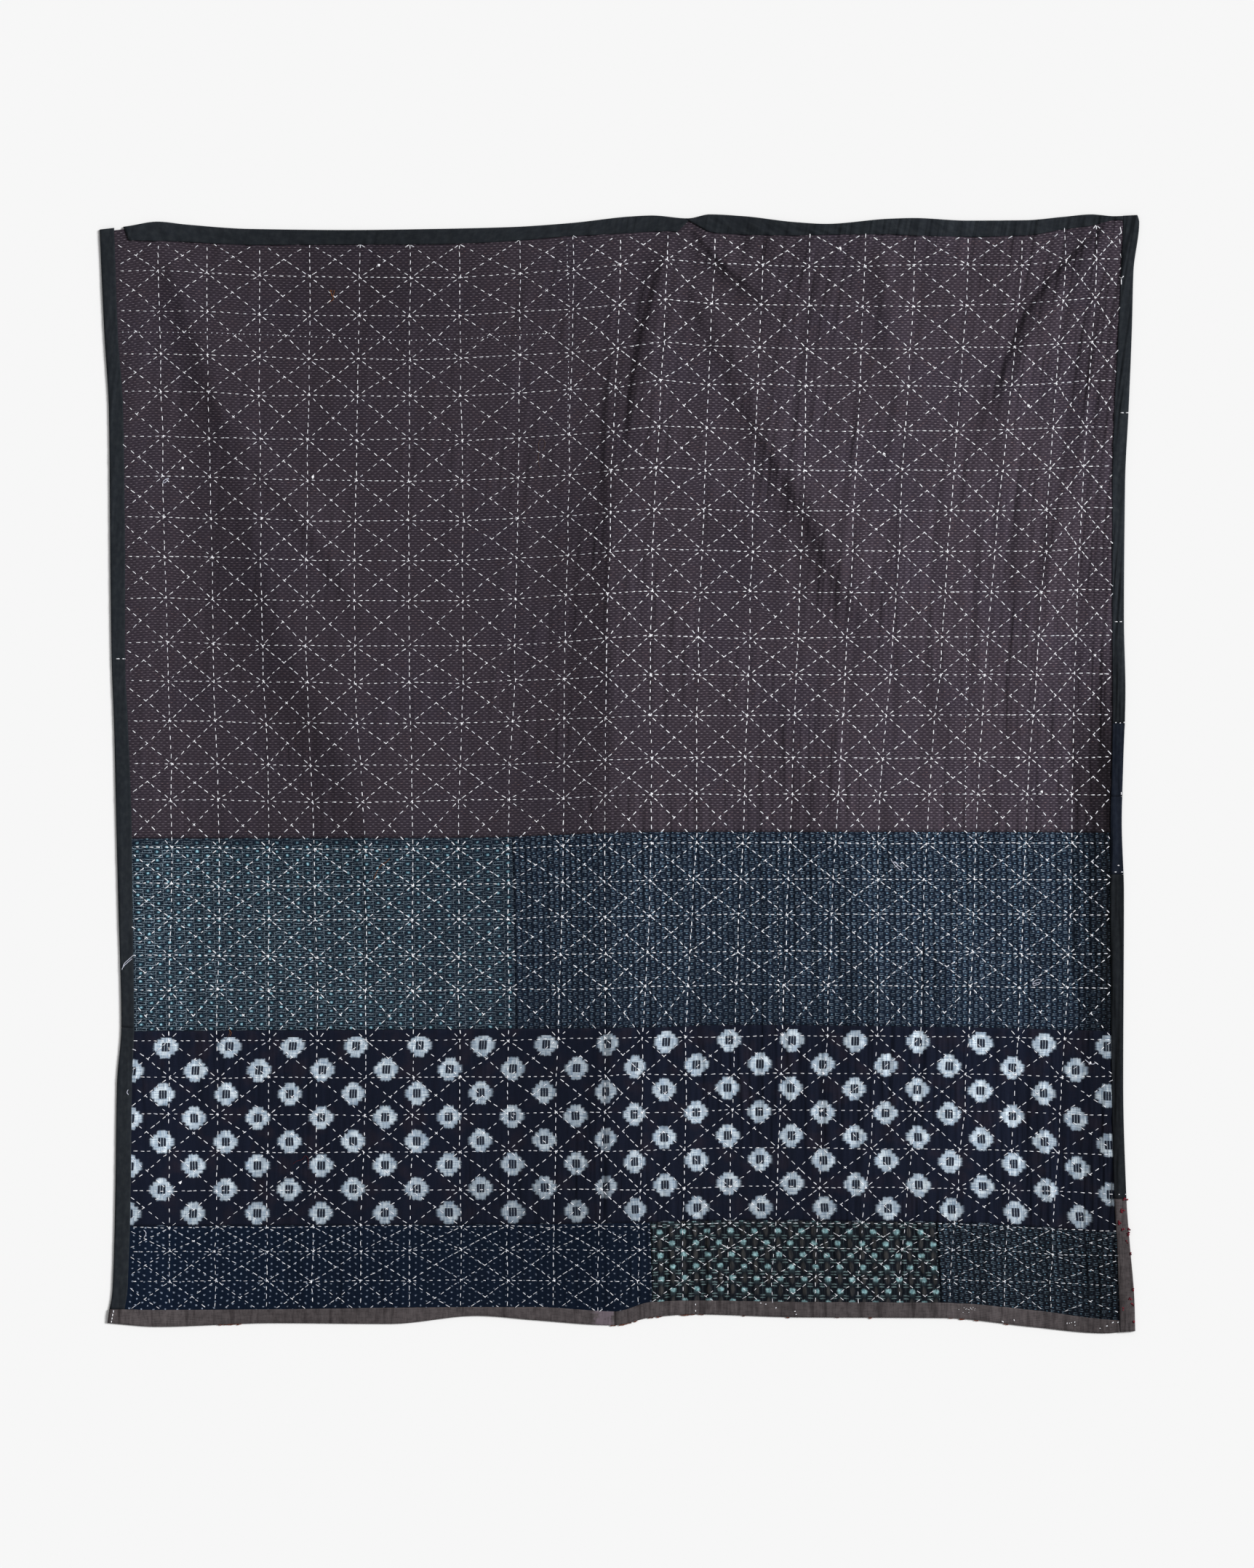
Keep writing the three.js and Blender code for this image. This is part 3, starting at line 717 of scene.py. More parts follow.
def backing_cloth(u, _):
    """Plain cotton, with the back of every quilting stitch showing along the lattice."""
    across, down = split(stored_map(u.tree, "lattice"))
    rising, falling = across + down, across - down
    stitches = []
    for line, run, count in ((across, down, 5.0), (down, across, 6.0), (rising, falling, 3.5),
                             (falling, rising, 3.5)):
        on_line = step_up(calc("PINGPONG", line, 0.5), 0.016, 0.008)
        stitches.append(on_line * step_up(calc("PINGPONG", run * count, 0.5), 0.2, 0.24))
    showing = highest(*stitches)
    return dye_over(showing, (34, 40, 52), (200, 200, 210)), showing


backing_cotton = cloth_material("backing_cotton", backing_cloth, fading=0.0, folded_edge=0.0)


def dress_panel(panel, node, material):
    """Gives a panel its cloth and its backing, and puts it in the place of its CAD solid."""
    panel.data.materials.append(material)
    panel.data.materials.append(backing_cotton)
    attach(panel, "root")
    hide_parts(node)


plum_panel = cloth_panel("plum_cloth", 0, 0, 1, (262, 152))
dress_panel(plum_panel, "panel_plum",
            cloth_material("plum_cotton", plum_cloth, unevenness=0.16, fading=0.36, wander=1.6,
                           ripple=0.6))

# ---------------------------------------------------------------------------------------------
# Middle band. Two indigo cottons side by side, seamed to the plum panel: on the west a teal
# lattice of woven bars with a bright knot of dye at each gap, on the east a finer slate one.
# ---------------------------------------------------------------------------------------------

# Where the two cloths meet, as a share of the cover's width.
MIDDLE_SPLIT = 0.3925


def storage_line_shade(u):
    """Painted shade: the narrow dark line where the cover was folded in half."""
    return step_up(abs(u - STORAGE_LINE), 11 * MM, 1 * MM, 0.0, 0.3)


def teal_lattice(u, v):
    """Pairs of long bars closed by ticks, with a haloed knot of dye between one and the next."""
    place = flat_place(u, v)
    cell = dict(pitch_across=27.6, pitch_up=6.0)
    bars = [mark(u, v, **cell, shift_across=13.8 + slip, shift_up=rise, half_width=7.5,
                 half_height=0.42, corners=6.0, softness=0.5)
            for rise, slip in ((-1.75, -0.7), (1.75, 0.7))]
    ticks = [mark(u, v, **cell, shift_across=13.8 + side, half_width=0.42, half_height=2.1,
                  corners=6.0) * 0.7 for side in (-6.6, 6.6)]
    specks = mark(u, v, pitch_across=6.9, pitch_up=3.0, shift_across=3.45, half_width=0.65,
                  half_height=1.1, stagger=0.0, corners=2.0) * patchy(place, 210.0, 0.0)
    halos = mark(u, v, **cell, half_width=2.5, half_height=2.0, corners=2.2, softness=0.8)
    knots = mark(u, v, **cell, half_width=1.8, half_height=1.5, softness=0.4)
    knots = knots * patchy(place, 90.0, 0.25)
    cores = mark(u, v, **cell, half_width=0.95, half_height=0.8, softness=0.7) * knots
    streaky = step_up(soft_noise(place, (75, 5)), 0.35, 0.65, 0.7, 1.15)
    lines = highest(*bars, *ticks) * patchy(place, 260.0, 0.25) * streaky
    # Darker in two steps towards the storage crease, the nearer one painted shade of the crease's west
    # flank, and the pattern dimmed under the upper seam.
    inner = step_up(u, -0.64, -0.5, 0.05, 0.14) + step_up(u, -0.36, -0.24, 0.0, 0.26)
    darkened = highest(inner, step_up(v, 257 * MM, 263 * MM, 0.0, 0.6))
    colour = layered((11, 21, 34), (specks * 0.5, (76, 104, 121)), (halos * 0.22, (62, 98, 117)),
                     (lines, (153, 175, 190)), (knots, (122, 177, 198)), (cores, (188, 224, 234)),
                     (darkened, (14, 22, 36)))
    return colour, highest(lines, knots)


def slate_lattice(ground, slub, line, dot):
    """Short pairs of bars, hooked at one end, and a dot of dye at each gap, in four colours."""
    def draw(u, v):
        place = flat_place(u, v)
        cell = dict(pitch_across=15.4, pitch_up=4.65)
        pair = [mark(u, v, **cell, shift_across=7.7, shift_up=rise, half_width=2.7,
                     half_height=0.36, softness=0.6) for rise in (-1.25, 1.25)]
        hooks = mark(u, v, **cell, shift_across=7.7 - 1.9, half_width=0.38, half_height=1.6,
                     softness=0.5)
        dots = mark(u, v, **cell, half_width=1.15, half_height=0.75, corners=2.5, softness=0.5)
        dots = dots * patchy(place, 120.0, 0.1)
        gaps = mark(u, v, pitch_across=7.7, pitch_up=9.0, shift_across=3.85, half_width=0.55,
                    half_height=9.0, stagger=0.0, softness=0.6) * patchy(place, 50.0, 0.2)
        lines = highest(*pair, hooks * 0.8) * patchy(place, 170.0, 0.12)
        slubs = step_up(soft_noise(place, (420, 160)), 0.52, 0.66)
        # Darker in a band east of the middle and towards the bottom, with painted shade west of the
        # storage crease and along the storage line.
        darker_band = step_up(u, 0.06, 0.12) * step_up(u, 0.3, 0.2) * 0.14
        darkened = (step_up(v, 0.15, 0.0, 0.0, 0.24) + step_up(u, -0.06, -0.14, 0.0, 0.12) + darker_band
                  + storage_line_shade(u))
        colour = layered(ground, (slubs, slub), (gaps, (9, 14, 25)), (lines, line), (dots, dot),
                         (darkened, ground))
        return colour, highest(lines, dots)
    return draw


teal_panel = cloth_panel("teal_lattice_cloth", 1, 0, MIDDLE_SPLIT, (136, 66))
dress_panel(teal_panel, "panel_lattice_teal",
            cloth_material("teal_lattice_cotton", teal_lattice, ripple=3.2))
slate_weave = slate_lattice((13, 22, 36), (31, 43, 61), (134, 153, 170), (112, 145, 168))
slate_cotton = cloth_material("slate_lattice_cotton", slate_weave, ripple=3.4)
slate_panel = cloth_panel("slate_lattice_cloth", 1, MIDDLE_SPLIT, 1, (208, 66))
dress_panel(slate_panel, "panel_lattice_blue", slate_cotton)

# ---------------------------------------------------------------------------------------------
# Spotted band. A navy cotton with rows of pale stepped spots, each with three dark bars, tied
# and dyed in the yarn before weaving, so that the edges of the spots are feathered.
# ---------------------------------------------------------------------------------------------


def spotted_cloth(u, v):
    """Spots stepped like crosses, made of three blocks, with three dark bars in the middle."""
    # The spots stand closer together by the storage fold and on the east, and the upper seam
    # cuts the tops off the last row of them.
    across = (u + step_up(u, -61 * MM, 60 * MM, 0.0, 10 * MM)
              + step_up(u, 100 * MM, 600 * MM, 0.0, 2.4 * MM))
    clear_of_seam = calc("LESS_THAN", v, step_up(u, -24 * MM, 0, 260.5 * MM, 264 * MM))
    v = v - step_up(u, -24 * MM, 0, 0.0, 1.0 * MM)

    # Tying leaves each narrow strip of yarn a little higher or lower than the next.
    strips = calc("FLOOR", across / (2.1 * MM))
    jog = new_node(u.tree, "TexWhiteNoise", {"W": strips}, "Value", noise_dimensions="1D")
    up = v + jog * (1.4 * MM) - 0.7 * MM
    place = flat_place(across, v)
    feathered = across + soft_noise(place, (90, 1300), 1.0) * (5.4 * MM) - 2.7 * MM

    cell = dict(pitch_across=87.6, pitch_up=32.7, shift_across=-672.2, shift_up=19)
    steps = [mark(feathered, up, **cell, half_width=wide, half_height=high, corners=12.0,
                  softness=soft)
             for wide, high, soft in ((16.0, 5.5, 0.15), (12.0, 10.2, 0.11), (7.1, 15.4, 0.08))]
    spots = highest(*steps) * clear_of_seam
    rim = mark(feathered, up, **cell, half_width=15.0, half_height=14.5, corners=1.9)
    centre = marked(across, v, **cell, half_width=5.4, half_height=6.0, corners=8.0, softness=0.1)
    gaps = abs(abs(centre["from centre"]) - 1.85 * MM)
    bars = centre["mask"] * clear_of_seam * step_up(gaps, 0.15 * MM, 0.8 * MM, 0.4, 1.0)

    threads = soft_noise(place, (650, 50), 1.0) + soft_noise(place, (50, 650), 1.0)
    shade = step_up(threads, 0.72, 1.22) * patchy(place, 70.0, 0.4)
    pale = dye_over(shade, (144, 163, 183), (232, 244, 252))
    pale = dye_over(rim * 0.55 + 0.45, (84, 106, 130), pale)
    brown = step_up(soft_noise(place, 30.0), 0.48, 0.7)
    # Painted shade west of the storage crease and along the storage line; the cloth is also darker
    # towards its bottom and a little east of its west end.
    crease_shade = step_up(u, -0.34, -0.12, 0.0, 0.2) * step_up(u, 0.03, -0.01)
    darkened = (crease_shade + step_up(v, 0.1, 0.02, 0.0, 0.2) + step_up(u, -0.45, -0.3, 0.0, 0.06)
              + storage_line_shade(u))
    colour = layered((18, 23, 38), (brown, (29, 28, 40)), (spots * 0.95, pale),
                     (bars, (30, 36, 50)), (darkened, (14, 18, 30)))
    return colour, 0.0


spotted_panel = cloth_panel("spotted_cloth", 2, 0, 1, (330, 64))
dress_panel(spotted_panel, "panel_spotted",
            cloth_material("spotted_cotton", spotted_cloth, fading=0.04, ripple=0.4,
                           folded_edge=0.3))

# ---------------------------------------------------------------------------------------------
# Foot band. Three short lengths seamed end to end: a navy cotton sprigged with tiny tailed
# dots, a coarse one with teal squares and brown lozenges, and more of the slate lattice.
# ---------------------------------------------------------------------------------------------

# Where the three cloths meet, as shares of the cover's width.
FOOT_SPLITS = (0.5282, 0.8114)


def navy_sprigs(u, v):
    """Tiny dots with up to three tails, some of which the dye has missed."""
    place = flat_place(u, v)
    cell = dict(pitch_across=16.4, pitch_up=4.4, corners=2.0, softness=0.5)
    sprigs = mark(u, v, **cell, half_width=1.05, half_height=0.85) * patchy(place, 110.0, 0.6)
    for side, rise, fineness in ((-1.0, 0.7, 61.0), (1.0, 0.5, 67.0), (0.5, -0.9, 71.0)):
        tail = mark(u, v, **cell, shift_across=side, shift_up=rise, half_width=0.9, half_height=0.42)
        kept = step_up(soft_noise(place, fineness, 1.0), 0.5, 0.62, 0.0, 0.6)
        sprigs = highest(sprigs, tail * kept)
    # Painted shade, darker towards the storage crease.
    darkened = step_up(u, -0.5, -0.1, 0.0, 0.5)
    return layered((9, 21, 38), (sprigs, (148, 160, 178)), (darkened, (7, 16, 30))), sprigs


def coarse_squares(u, v):
    """Tailed teal squares and brown lozenges by turns, with a barred stem between each two."""
    place = flat_place(u, v)
    ragged = v + soft_noise(place, (700, 60), 1.0) * (5.0 * MM) - 2.5 * MM
    bled = u + soft_noise(place, (60, 600), 1.0) * (3.0 * MM) - 1.5 * MM
    cell = dict(pitch_across=32.4, pitch_up=16.2)
    half_cell = dict(pitch_across=16.2, pitch_up=16.2, shift_across=38.0 + 8.1, stagger=0.0)
    squares = mark(bled, ragged, **cell, shift_across=38.0, shift_up=2.4, half_width=3.9,
                   half_height=3.0, corners=3.0)
    tails = mark(bled, ragged, **cell, shift_across=38.0, shift_up=0.4, half_width=3.6,
                 half_height=5.0, softness=0.6)
    lozenges = mark(u, ragged, **cell, shift_across=38.0 + 16.2, shift_up=2.4, half_width=2.9,
                    half_height=6.4, corners=1.8, softness=0.45)
    bars = [mark(bled, v, **half_cell, shift_up=10.45 + rise, half_width=3.1, half_height=0.75,
                 softness=0.5) for rise in (-1.8, 1.8)]
    stems = mark(u, v, **half_cell, shift_up=10.45, half_width=0.5, half_height=7.5, softness=0.4)
    stems = stems * patchy(place, 120.0, 0.1)
    uneven = patchy(place, 190.0, 0.4)
    bars = highest(*bars) * uneven
    streaks = step_up(soft_noise(place, (900, 60)), 0.55, 0.7, 0.0, 0.5)
    veined = step_up(soft_noise(place, (800, 40), 1.0), 0.35, 0.65, 0.35, 1.0)
    teal = dye_over(patchy(place, 260.0, 0.0), (104, 144, 151), (166, 204, 208))
    colour = layered((13, 18, 26), (streaks, (46, 50, 54)), (stems * 0.35, (70, 88, 92)),
                     (lozenges * veined, (60, 60, 60)), (tails * 0.45, (60, 76, 80)),
                     (bars, (112, 134, 136)), (squares * uneven, teal))
    return colour, highest(squares, bars, lozenges)


# The slate lattice again, from a length that was never bleached by the light.
deep_slate = slate_lattice((10, 15, 24), (22, 30, 41), (110, 129, 143), (96, 128, 148))
navy_panel = cloth_panel("navy_sprigged_cloth", 3, 0, FOOT_SPLITS[0], (182, 32))
dress_panel(navy_panel, "panel_foot_navy",
            cloth_material("navy_sprigged_cotton", navy_sprigs, fading=0.0, ripple=3.0))
coarse_panel = cloth_panel("coarse_teal_cloth", 3, *FOOT_SPLITS, (98, 32))
dress_panel(coarse_panel, "panel_foot_teal",
            cloth_material("coarse_teal_cotton", coarse_squares, fading=0.0, weave_depth=0.4,
                           ripple=1.8))
foot_slate_panel = cloth_panel("foot_slate_cloth", 3, FOOT_SPLITS[1], 1, (66, 32))
dress_panel(foot_slate_panel, "panel_foot_blue",
            cloth_material("foot_slate_cotton", deep_slate, fading=0.0, ripple=3.4,
                           folded_edge=0.3))

# ---------------------------------------------------------------------------------------------
# Bindings. Eleven narrow strips of black, navy and umber cotton, folded over the raw edge and
# hemmed down by hand on both sides, so that they are a little gathered along their inner edge.
# ---------------------------------------------------------------------------------------------

BINDING_HEIGHT = 2 * HEM_LIFT + CLOTH_THICK
BINDING_CELL = 4.5 * MM
BINDING_WIDTH = 20 * MM
# The length over which a strip is eased from its corners into the line of its side.
CORNER_EASE = 12 * MM
# Each side's table, and whether it is read at heights or at places across.
SIDES = {"west": (WEST_SIDE, 1), "east": (EAST_SIDE, 1),
         "head": (HEAD_EDGE, 0), "foot": (FOOT_EDGE, 0)}
# Each strip: its side, its start and its end as an outer and an inner corner, and its colour.
BINDINGS = {
    "head_west": ("head", (-682, 752, -674, 733), (99, 764, 80, 745), "black"),
    "head_east": ("head", (90, 763.5, 121, 745.2), (692, 766.9, 692, 761.2), "black"),
    "west_upper": ("west", (-684.6, -348.2, -667, -348.2), (-714.5, 748, -694.5, 750.2), "black"),
    "west_lower": ("west", (-700.8, -735.6, -680, -735.6), (-684.6, -348.5, -667, -348.5), "black"),
    "east_1": ("east", (694.8, 70, 677.7, 70), (712, 768, 692.5, 767), "black"),
    "east_2": ("east", (691.2, -31, 675.8, -31), (694.8, 69.7, 677.7, 69.7), "navy"),
    "east_3": ("east", (693, -138, 675, -138), (691.2, -31.3, 675.8, -31.3), "navy"),
    "east_4": ("east", (697, -584, 680.4, -584), (693, -138.3, 675, -138.3), "black"),
    "east_5": ("east", (709, -766, 688.5, -767.4), (697, -584.3, 680.4, -584.3), "umber"),
    "foot_west": ("foot", (-703.5, -755, -701, -736), (-7, -758, -7, -739), "umber"),
    "foot_east": ("foot", (-6.7, -758, -6.7, -739), (687.8, -767.5, 686.8, -751.5), "umber"),
}
# The folded section, from the inner edge of the layer below, round the fold, to the inner edge
# of the layer above: share of the strip's width in from the outline, and share of its height.
FOLDED = np.array([
    (1.0, 0.0), (0.8, 0.0), (0.55, 0.0), (0.3, 0.0), (0.12, 0.03), (0.04, 0.16), (0.0, 0.38),
    (0.0, 0.62), (0.04, 0.85), (0.12, 0.98), (0.25, 1.02), (0.4, 1.02), (0.55, 1.0), (0.7, 0.98),
    (0.85, 0.98), (0.95, 1.0), (1.0, 0.93), (1.015, 0.78),
])


def binding_strip(name, side, start, end):
    """A strip folded over the edge: the grid's first way runs along it, the other round it."""
    table, upright = SIDES[side]
    start, end = MM * np.array(start), MM * np.array(end)
    span = end[upright::2] - start[upright::2]
    length = float(span.mean())
    mesh, share = fine_grid(name, (max(8, round(length / BINDING_CELL)), len(FOLDED) - 1))
    run, turn = share[:, 0], np.rint(share[:, 1] * (len(FOLDED) - 1)).astype(int)
    places = []
    ease = CORNER_EASE / length
    for corner in (0, 1):
        key = start[2 * corner + upright] + run * span[corner]
        other = along(table, 1 + corner, key)
        first, last = other[run < 1e-6][0], other[run > 1 - 1e-6][0]
        other += (start[2 * corner + 1 - upright] - first) * (1 - smooth_step(run, 0, ease))
        other += (end[2 * corner + 1 - upright] - last) * smooth_step(run, 1 - ease, 1)
        places.append((other, key) if upright else (key, other))
    (outer_x, outer_y), (inner_x, inner_y) = places
    inward, rise = FOLDED[turn].T
    along_strip = run * length
    layer = 28.7 + 11 * start[0]
    gather = (noise_at(along_strip, inward, 75, 1.2, layer)
              + 0.5 * noise_at(along_strip, inward, 160, 2.0, layer + 4))
    upper = smooth_step(rise, 0.5, 0.95)
    inward = inward + 0.03 * gather * upper * smooth_step(inward, 0.8, 1.0)
    x = outer_x + (inner_x - outer_x) * inward
    y = outer_y + (inner_y - outer_y) * inward
    drawn_up = {"head": 1.9, "foot": 1.1}.get(side, 0.7)
    swell = (drawn_up * gather + 0.35).clip(-0.2) * (0.4 + inward.clip(0, 1))
    z = rise * BINDING_HEIGHT + upper * MM * swell
    mesh.vertices.foreach_set("co", np.column_stack([x, y, z]).ravel())
    turns = np.diff(FOLDED * (BINDING_WIDTH, BINDING_HEIGHT), axis=0)
    girth = np.append(0, np.cumsum(np.hypot(*turns.T)))
    add_map(mesh, "cloth", np.column_stack([along_strip, girth[turn]]))
    mesh.shade_smooth()
    strip = new_piece(name, mesh)
    tape = strip.modifiers.new("tape", "SOLIDIFY")
    tape.thickness = TAPE_THICK
    tape.offset = -1
    return strip, length


def face_outward(mesh, height):
    """Turns a strip over where its faces above a height don't look up."""
    if sum(face.normal.z for face in mesh.polygons if face.center.z > height) < 0:
        mesh.flip_normals()


def plain_tape(red, green, blue):
    """A plain cotton, a little paler where it is worn."""
    def draw(u, v):
        worn = step_up(soft_noise(flat_place(u, v), (120, 160), 3.0), 0.35, 0.75)
        return dye_over(worn, (red, green, blue), (red + 8, green + 8, blue + 7)), 0.0
    return draw


def umber_check(u, v):
    """A check of single threads, gathered by the hem, with painted shade in its gathers, and worn
    pale beside the storage fold.
    """
    endless = 9000
    warp = mark(u, v, pitch_across=2.0, pitch_up=endless, half_width=0.5, half_height=endless,
                stagger=0.0, softness=0.4)
    weft = mark(u, v, pitch_across=endless, pitch_up=2.0, half_width=endless, half_height=0.5,
                stagger=0.0, softness=0.4)
    check = (warp + weft) * 0.5 * patchy(flat_place(u, v), 130.0, 0.4)
    place = room_place(u.tree)
    # Painted shade in the gathers along the strip.
    gathered = step_up(soft_noise(place, (110, 16)), 0.52, 0.66, 0.0, 0.5)
    worn = abs(split(place)[0] + 22 * MM) + soft_noise(place, 130.0, 3.0) * (40 * MM)
    worn = step_up(worn, 36 * MM, 24 * MM, 0.0, 0.65)
    colour = layered((90, 84, 85), (check, (50, 46, 48)), (gathered, (40, 35, 37)),
                     (worn, (120, 108, 118)))
    return colour, check


tape_cottons = {
    "black": (cloth_material("black_binding_cotton", plain_tape(32, 36, 41), unevenness=0.1,
                             threads=0.15, fading=0.2, folded_edge=0.4),
              "binding_black"),
    "navy": (cloth_material("navy_binding_cotton", plain_tape(22, 28, 40), unevenness=0.1,
                            threads=0.15, fading=0.0, folded_edge=0.0),
             "binding_navy"),
    "umber": (cloth_material("umber_binding_cotton", umber_check, fading=0.0, folded_edge=0.0),
              "binding_umber"),
}
for name, (side, start, end, colour) in BINDINGS.items():
    strip, length = binding_strip("tape_" + name, side, start, end)
    face_outward(strip.data, 0.8 * BINDING_HEIGHT)
    material, slot = tape_cottons[colour]
    strip.data.materials.append(material)
    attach(strip, "root")
    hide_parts("binding_" + name)

# ---------------------------------------------------------------------------------------------
# Quilting stitches. Running stitches in thick white cotton hold the cloth and its backing
# together, along level, upright and slanting lines that meet in small stars.
# ---------------------------------------------------------------------------------------------

THREAD_WIDTH = 1.35 * MM
THREAD_HEIGHT = 0.95 * MM
# The height down to which a thread was used, and its share of the full width west and east of
# the storage fold.
THREADS = [(-78, 0.78, 1.0), (-355, 0.95, 1.0), (-600, 0.77, 0.77), (-800, 0.62, 0.62)]
# Each kind of line: from one stitch to the next, the length of a stitch, and how far from the
# middle of a star its row ends.
LEVEL_ROW = (9.8 * MM, 5.0 * MM, 9.0 * MM)
UPRIGHT_ROW = (11.8 * MM, 5.8 * MM, 10.6 * MM)
SLANT_ROW = (11.6 * MM, 6.0 * MM, 9.4 * MM)
# How far a row ends from the crossing of two slants, and from a star that a binding hides.
CROSS_ROOM, HIDDEN_ROOM = 11 * MM, 4 * MM
# How far a slant usually runs from a star to a crossing. Shorter ones are drawn together.
SLANT_REACH = 44 * MM
rng = np.random.default_rng(41)


def cloth_top(x, y):
    """The height of the cloth's upper surface, read off the panels' own grids."""
    top = np.zeros_like(x)
    west, east = side_lines(y)
    across = np.clip((x - west) / (east - west), 0, 1)
    for band, start, end, heights in panel_tops:
        lower, upper = cross_line(band + 1, x), cross_line(band, x)
        up = (y - lower) / (upper - lower)
        inside = (across >= start) & (across <= end)
        inside &= ((up >= 0) | (band == 3)) & ((up <= 1) | (band == 0))
        rows, columns = heights.shape[0] - 1, heights.shape[1] - 1
        column = np.clip((across - start) / (end - start), 0, 1) * columns
        row = np.clip(up, 0, 1) * rows
        west_of = np.minimum(column.astype(int), columns - 1)
        below = np.minimum(row.astype(int), rows - 1)
        part_x, part_y = column - west_of, row - below
        under = heights[below, west_of] * (1 - part_x) + heights[below, west_of + 1] * part_x
        over = heights[below + 1, west_of] * (1 - part_x) + heights[below + 1, west_of + 1] * part_x
        top = np.where(inside, under + (over - under) * part_y, top)
    return top


def single_stitch():
    """One stitch of unit size: a plump thread that dips into the cloth at both ends."""
    form = bmesh.new()
    bmesh.ops.create_uvsphere(form, u_segments=4, v_segments=4, radius=0.5, calc_uvs=True)
    bmesh.ops.rotate(form, verts=form.verts, cent=(0, 0, 0),
                     matrix=Euler((0, np.pi / 2, 0)).to_matrix())
    for vert in form.verts:
        if 0.1 < abs(vert.co.x) < 0.45:
            vert.co.x *= 1.13
            vert.co.y *= 1.28
            vert.co.z *= 1.28
    mesh = bpy.data.meshes.new("stitch")
    form.to_mesh(mesh)
    form.free()
    mesh.shade_smooth()
    return mesh


stitch_form = single_stitch()


def sewn(name, stitches, material, height=None):
    """Lays a copy of the one stitch along every (x, y, x, y, width, tone) row, on the cloth, on
    the binding, or at one height."""
    stitches = np.array(stitches)
    piece = new_piece(name, stitch_form.copy())
    copies = piece.modifiers.new("copies", "ARRAY")
    copies.count = len(stitches)
    copies.relative_offset_displace = (0, 0, 0)
    evaluated = piece.evaluated_get(bpy.context.evaluated_depsgraph_get())
    mesh = bpy.data.meshes.new_from_object(evaluated)
    mesh.name = name
    piece.modifiers.clear()
    piece.data = mesh
    along_it, aside, above = vertex_places(mesh).T
    each = np.repeat(stitches, len(stitch_form.vertices), axis=0)
    start_x, start_y, end_x, end_y, width, tone = each.T
    reach_x, reach_y = end_x - start_x, end_y - start_y
    reach = np.hypot(reach_x, reach_y)
    line_x, line_y = start_x + reach_x * (along_it + 0.5), start_y + reach_y * (along_it + 0.5)
    x = line_x - reach_y / reach * aside * width
    y = line_y + reach_x / reach * aside * width
    sunk = 0.25 * MM - 1.1 * MM * along_it**2
    on_tape = inside_binding(line_x, line_y) < 0
    lies_at = np.where(on_tape, BINDING_HEIGHT + 0.7 * MM, cloth_top(line_x, line_y) + sunk)
    if height is not None:
        lies_at = height
    z = lies_at + above * THREAD_HEIGHT * width / THREAD_WIDTH
    mesh.vertices.foreach_set("co", np.column_stack([x, y, z]).ravel())
    mesh.attributes.new("tone", "FLOAT", "POINT").data.foreach_set("value", tone)
    mesh.update()
    piece.data.materials.append(material)
    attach(piece, "root")
    return piece


def thread_material(name, pale, dark):
    """Two-ply cotton thread, lighter and darker from one stitch to the next."""
    material, tree, surface = new_material(name, {"Roughness": 0.75, "Specular IOR Level": 0.3})
    place = room_place(tree)
    shade = soft_noise(place, 900.0, 1.0) * 0.3 + stored_value(tree, "tone")
    feed(surface.inputs["Base Color"], dye_over(step_up(shade, 0.1, 1.1), dark, pale))
    plies = new_node(tree, "TexWave", {"Vector": place, "Scale": 900 / 6.28}, "Fac",
                     bands_direction="DIAGONAL")
    emboss(surface, plies, 0.1 * MM)
    return material


white_thread = thread_material("white_thread", (250, 251, 255), (188, 191, 206))


def thread_at(x, y):
    """The width of the sewing thread, which is finer in some places than in others."""
    west, east = next((west, east) for foot, west, east in THREADS if y > foot * MM)
    return THREAD_WIDTH * (west if x < STORAGE_LINE else east)


def stitch_row(start, end, pitch, length, room, end_room=None):
    """The stitches of one stretch between two crossings, clear of the star at either end."""
    start, end = np.array(start, float), np.array(end, float)
    stretch = np.hypot(*(end - start))
    way = (end - start) / stretch
    end_room = end_room or room
    width = thread_at(*start)
    free = stretch - room - end_room
    count = max(1, round(free / pitch * rng.uniform(0.92, 1.08)) + 1)
    middles = np.linspace(room, stretch - end_room, count) + rng.normal(0, 0.7 * MM, count)
    spacing = free / max(1, count - 1)
    lengths = min(length, 0.58 * spacing) * rng.normal(1, 0.14, count)
    aside = np.array([-way[1], way[0]])
    rows = []
    for middle, long in zip(middles, lengths):
        near = start + way * (middle - long / 2) + aside * rng.normal(0, 0.25 * MM)
        far = start + way * (middle + long / 2) + aside * rng.normal(0, 0.25 * MM)
        rows.append((*near, *far, width * rng.normal(1, 0.1), rng.uniform(0.45, 1)))
    return rows


def shown(stitches):
    """Only the stitches whose middle isn't under a binding."""
    rows = np.array(stitches)
    x, y = (rows[:, 0] + rows[:, 2]) / 2, (rows[:, 1] + rows[:, 3]) / 2
    return rows[inside_binding(x, y) > 1.0 * MM]


lines_across, lines_down = np.meshgrid(np.arange(float(UPRIGHTS)), np.arange(float(LEVELS)))
crossings = np.stack([
    place.reshape(LEVELS, UPRIGHTS) + rng.normal(0, 0.8 * MM, (LEVELS, UPRIGHTS))
    for place in lattice_point(lines_across.ravel(), lines_down.ravel())
], axis=-1)
HEAD_ROW, FOOT_ROW = 0, LEVELS - 1

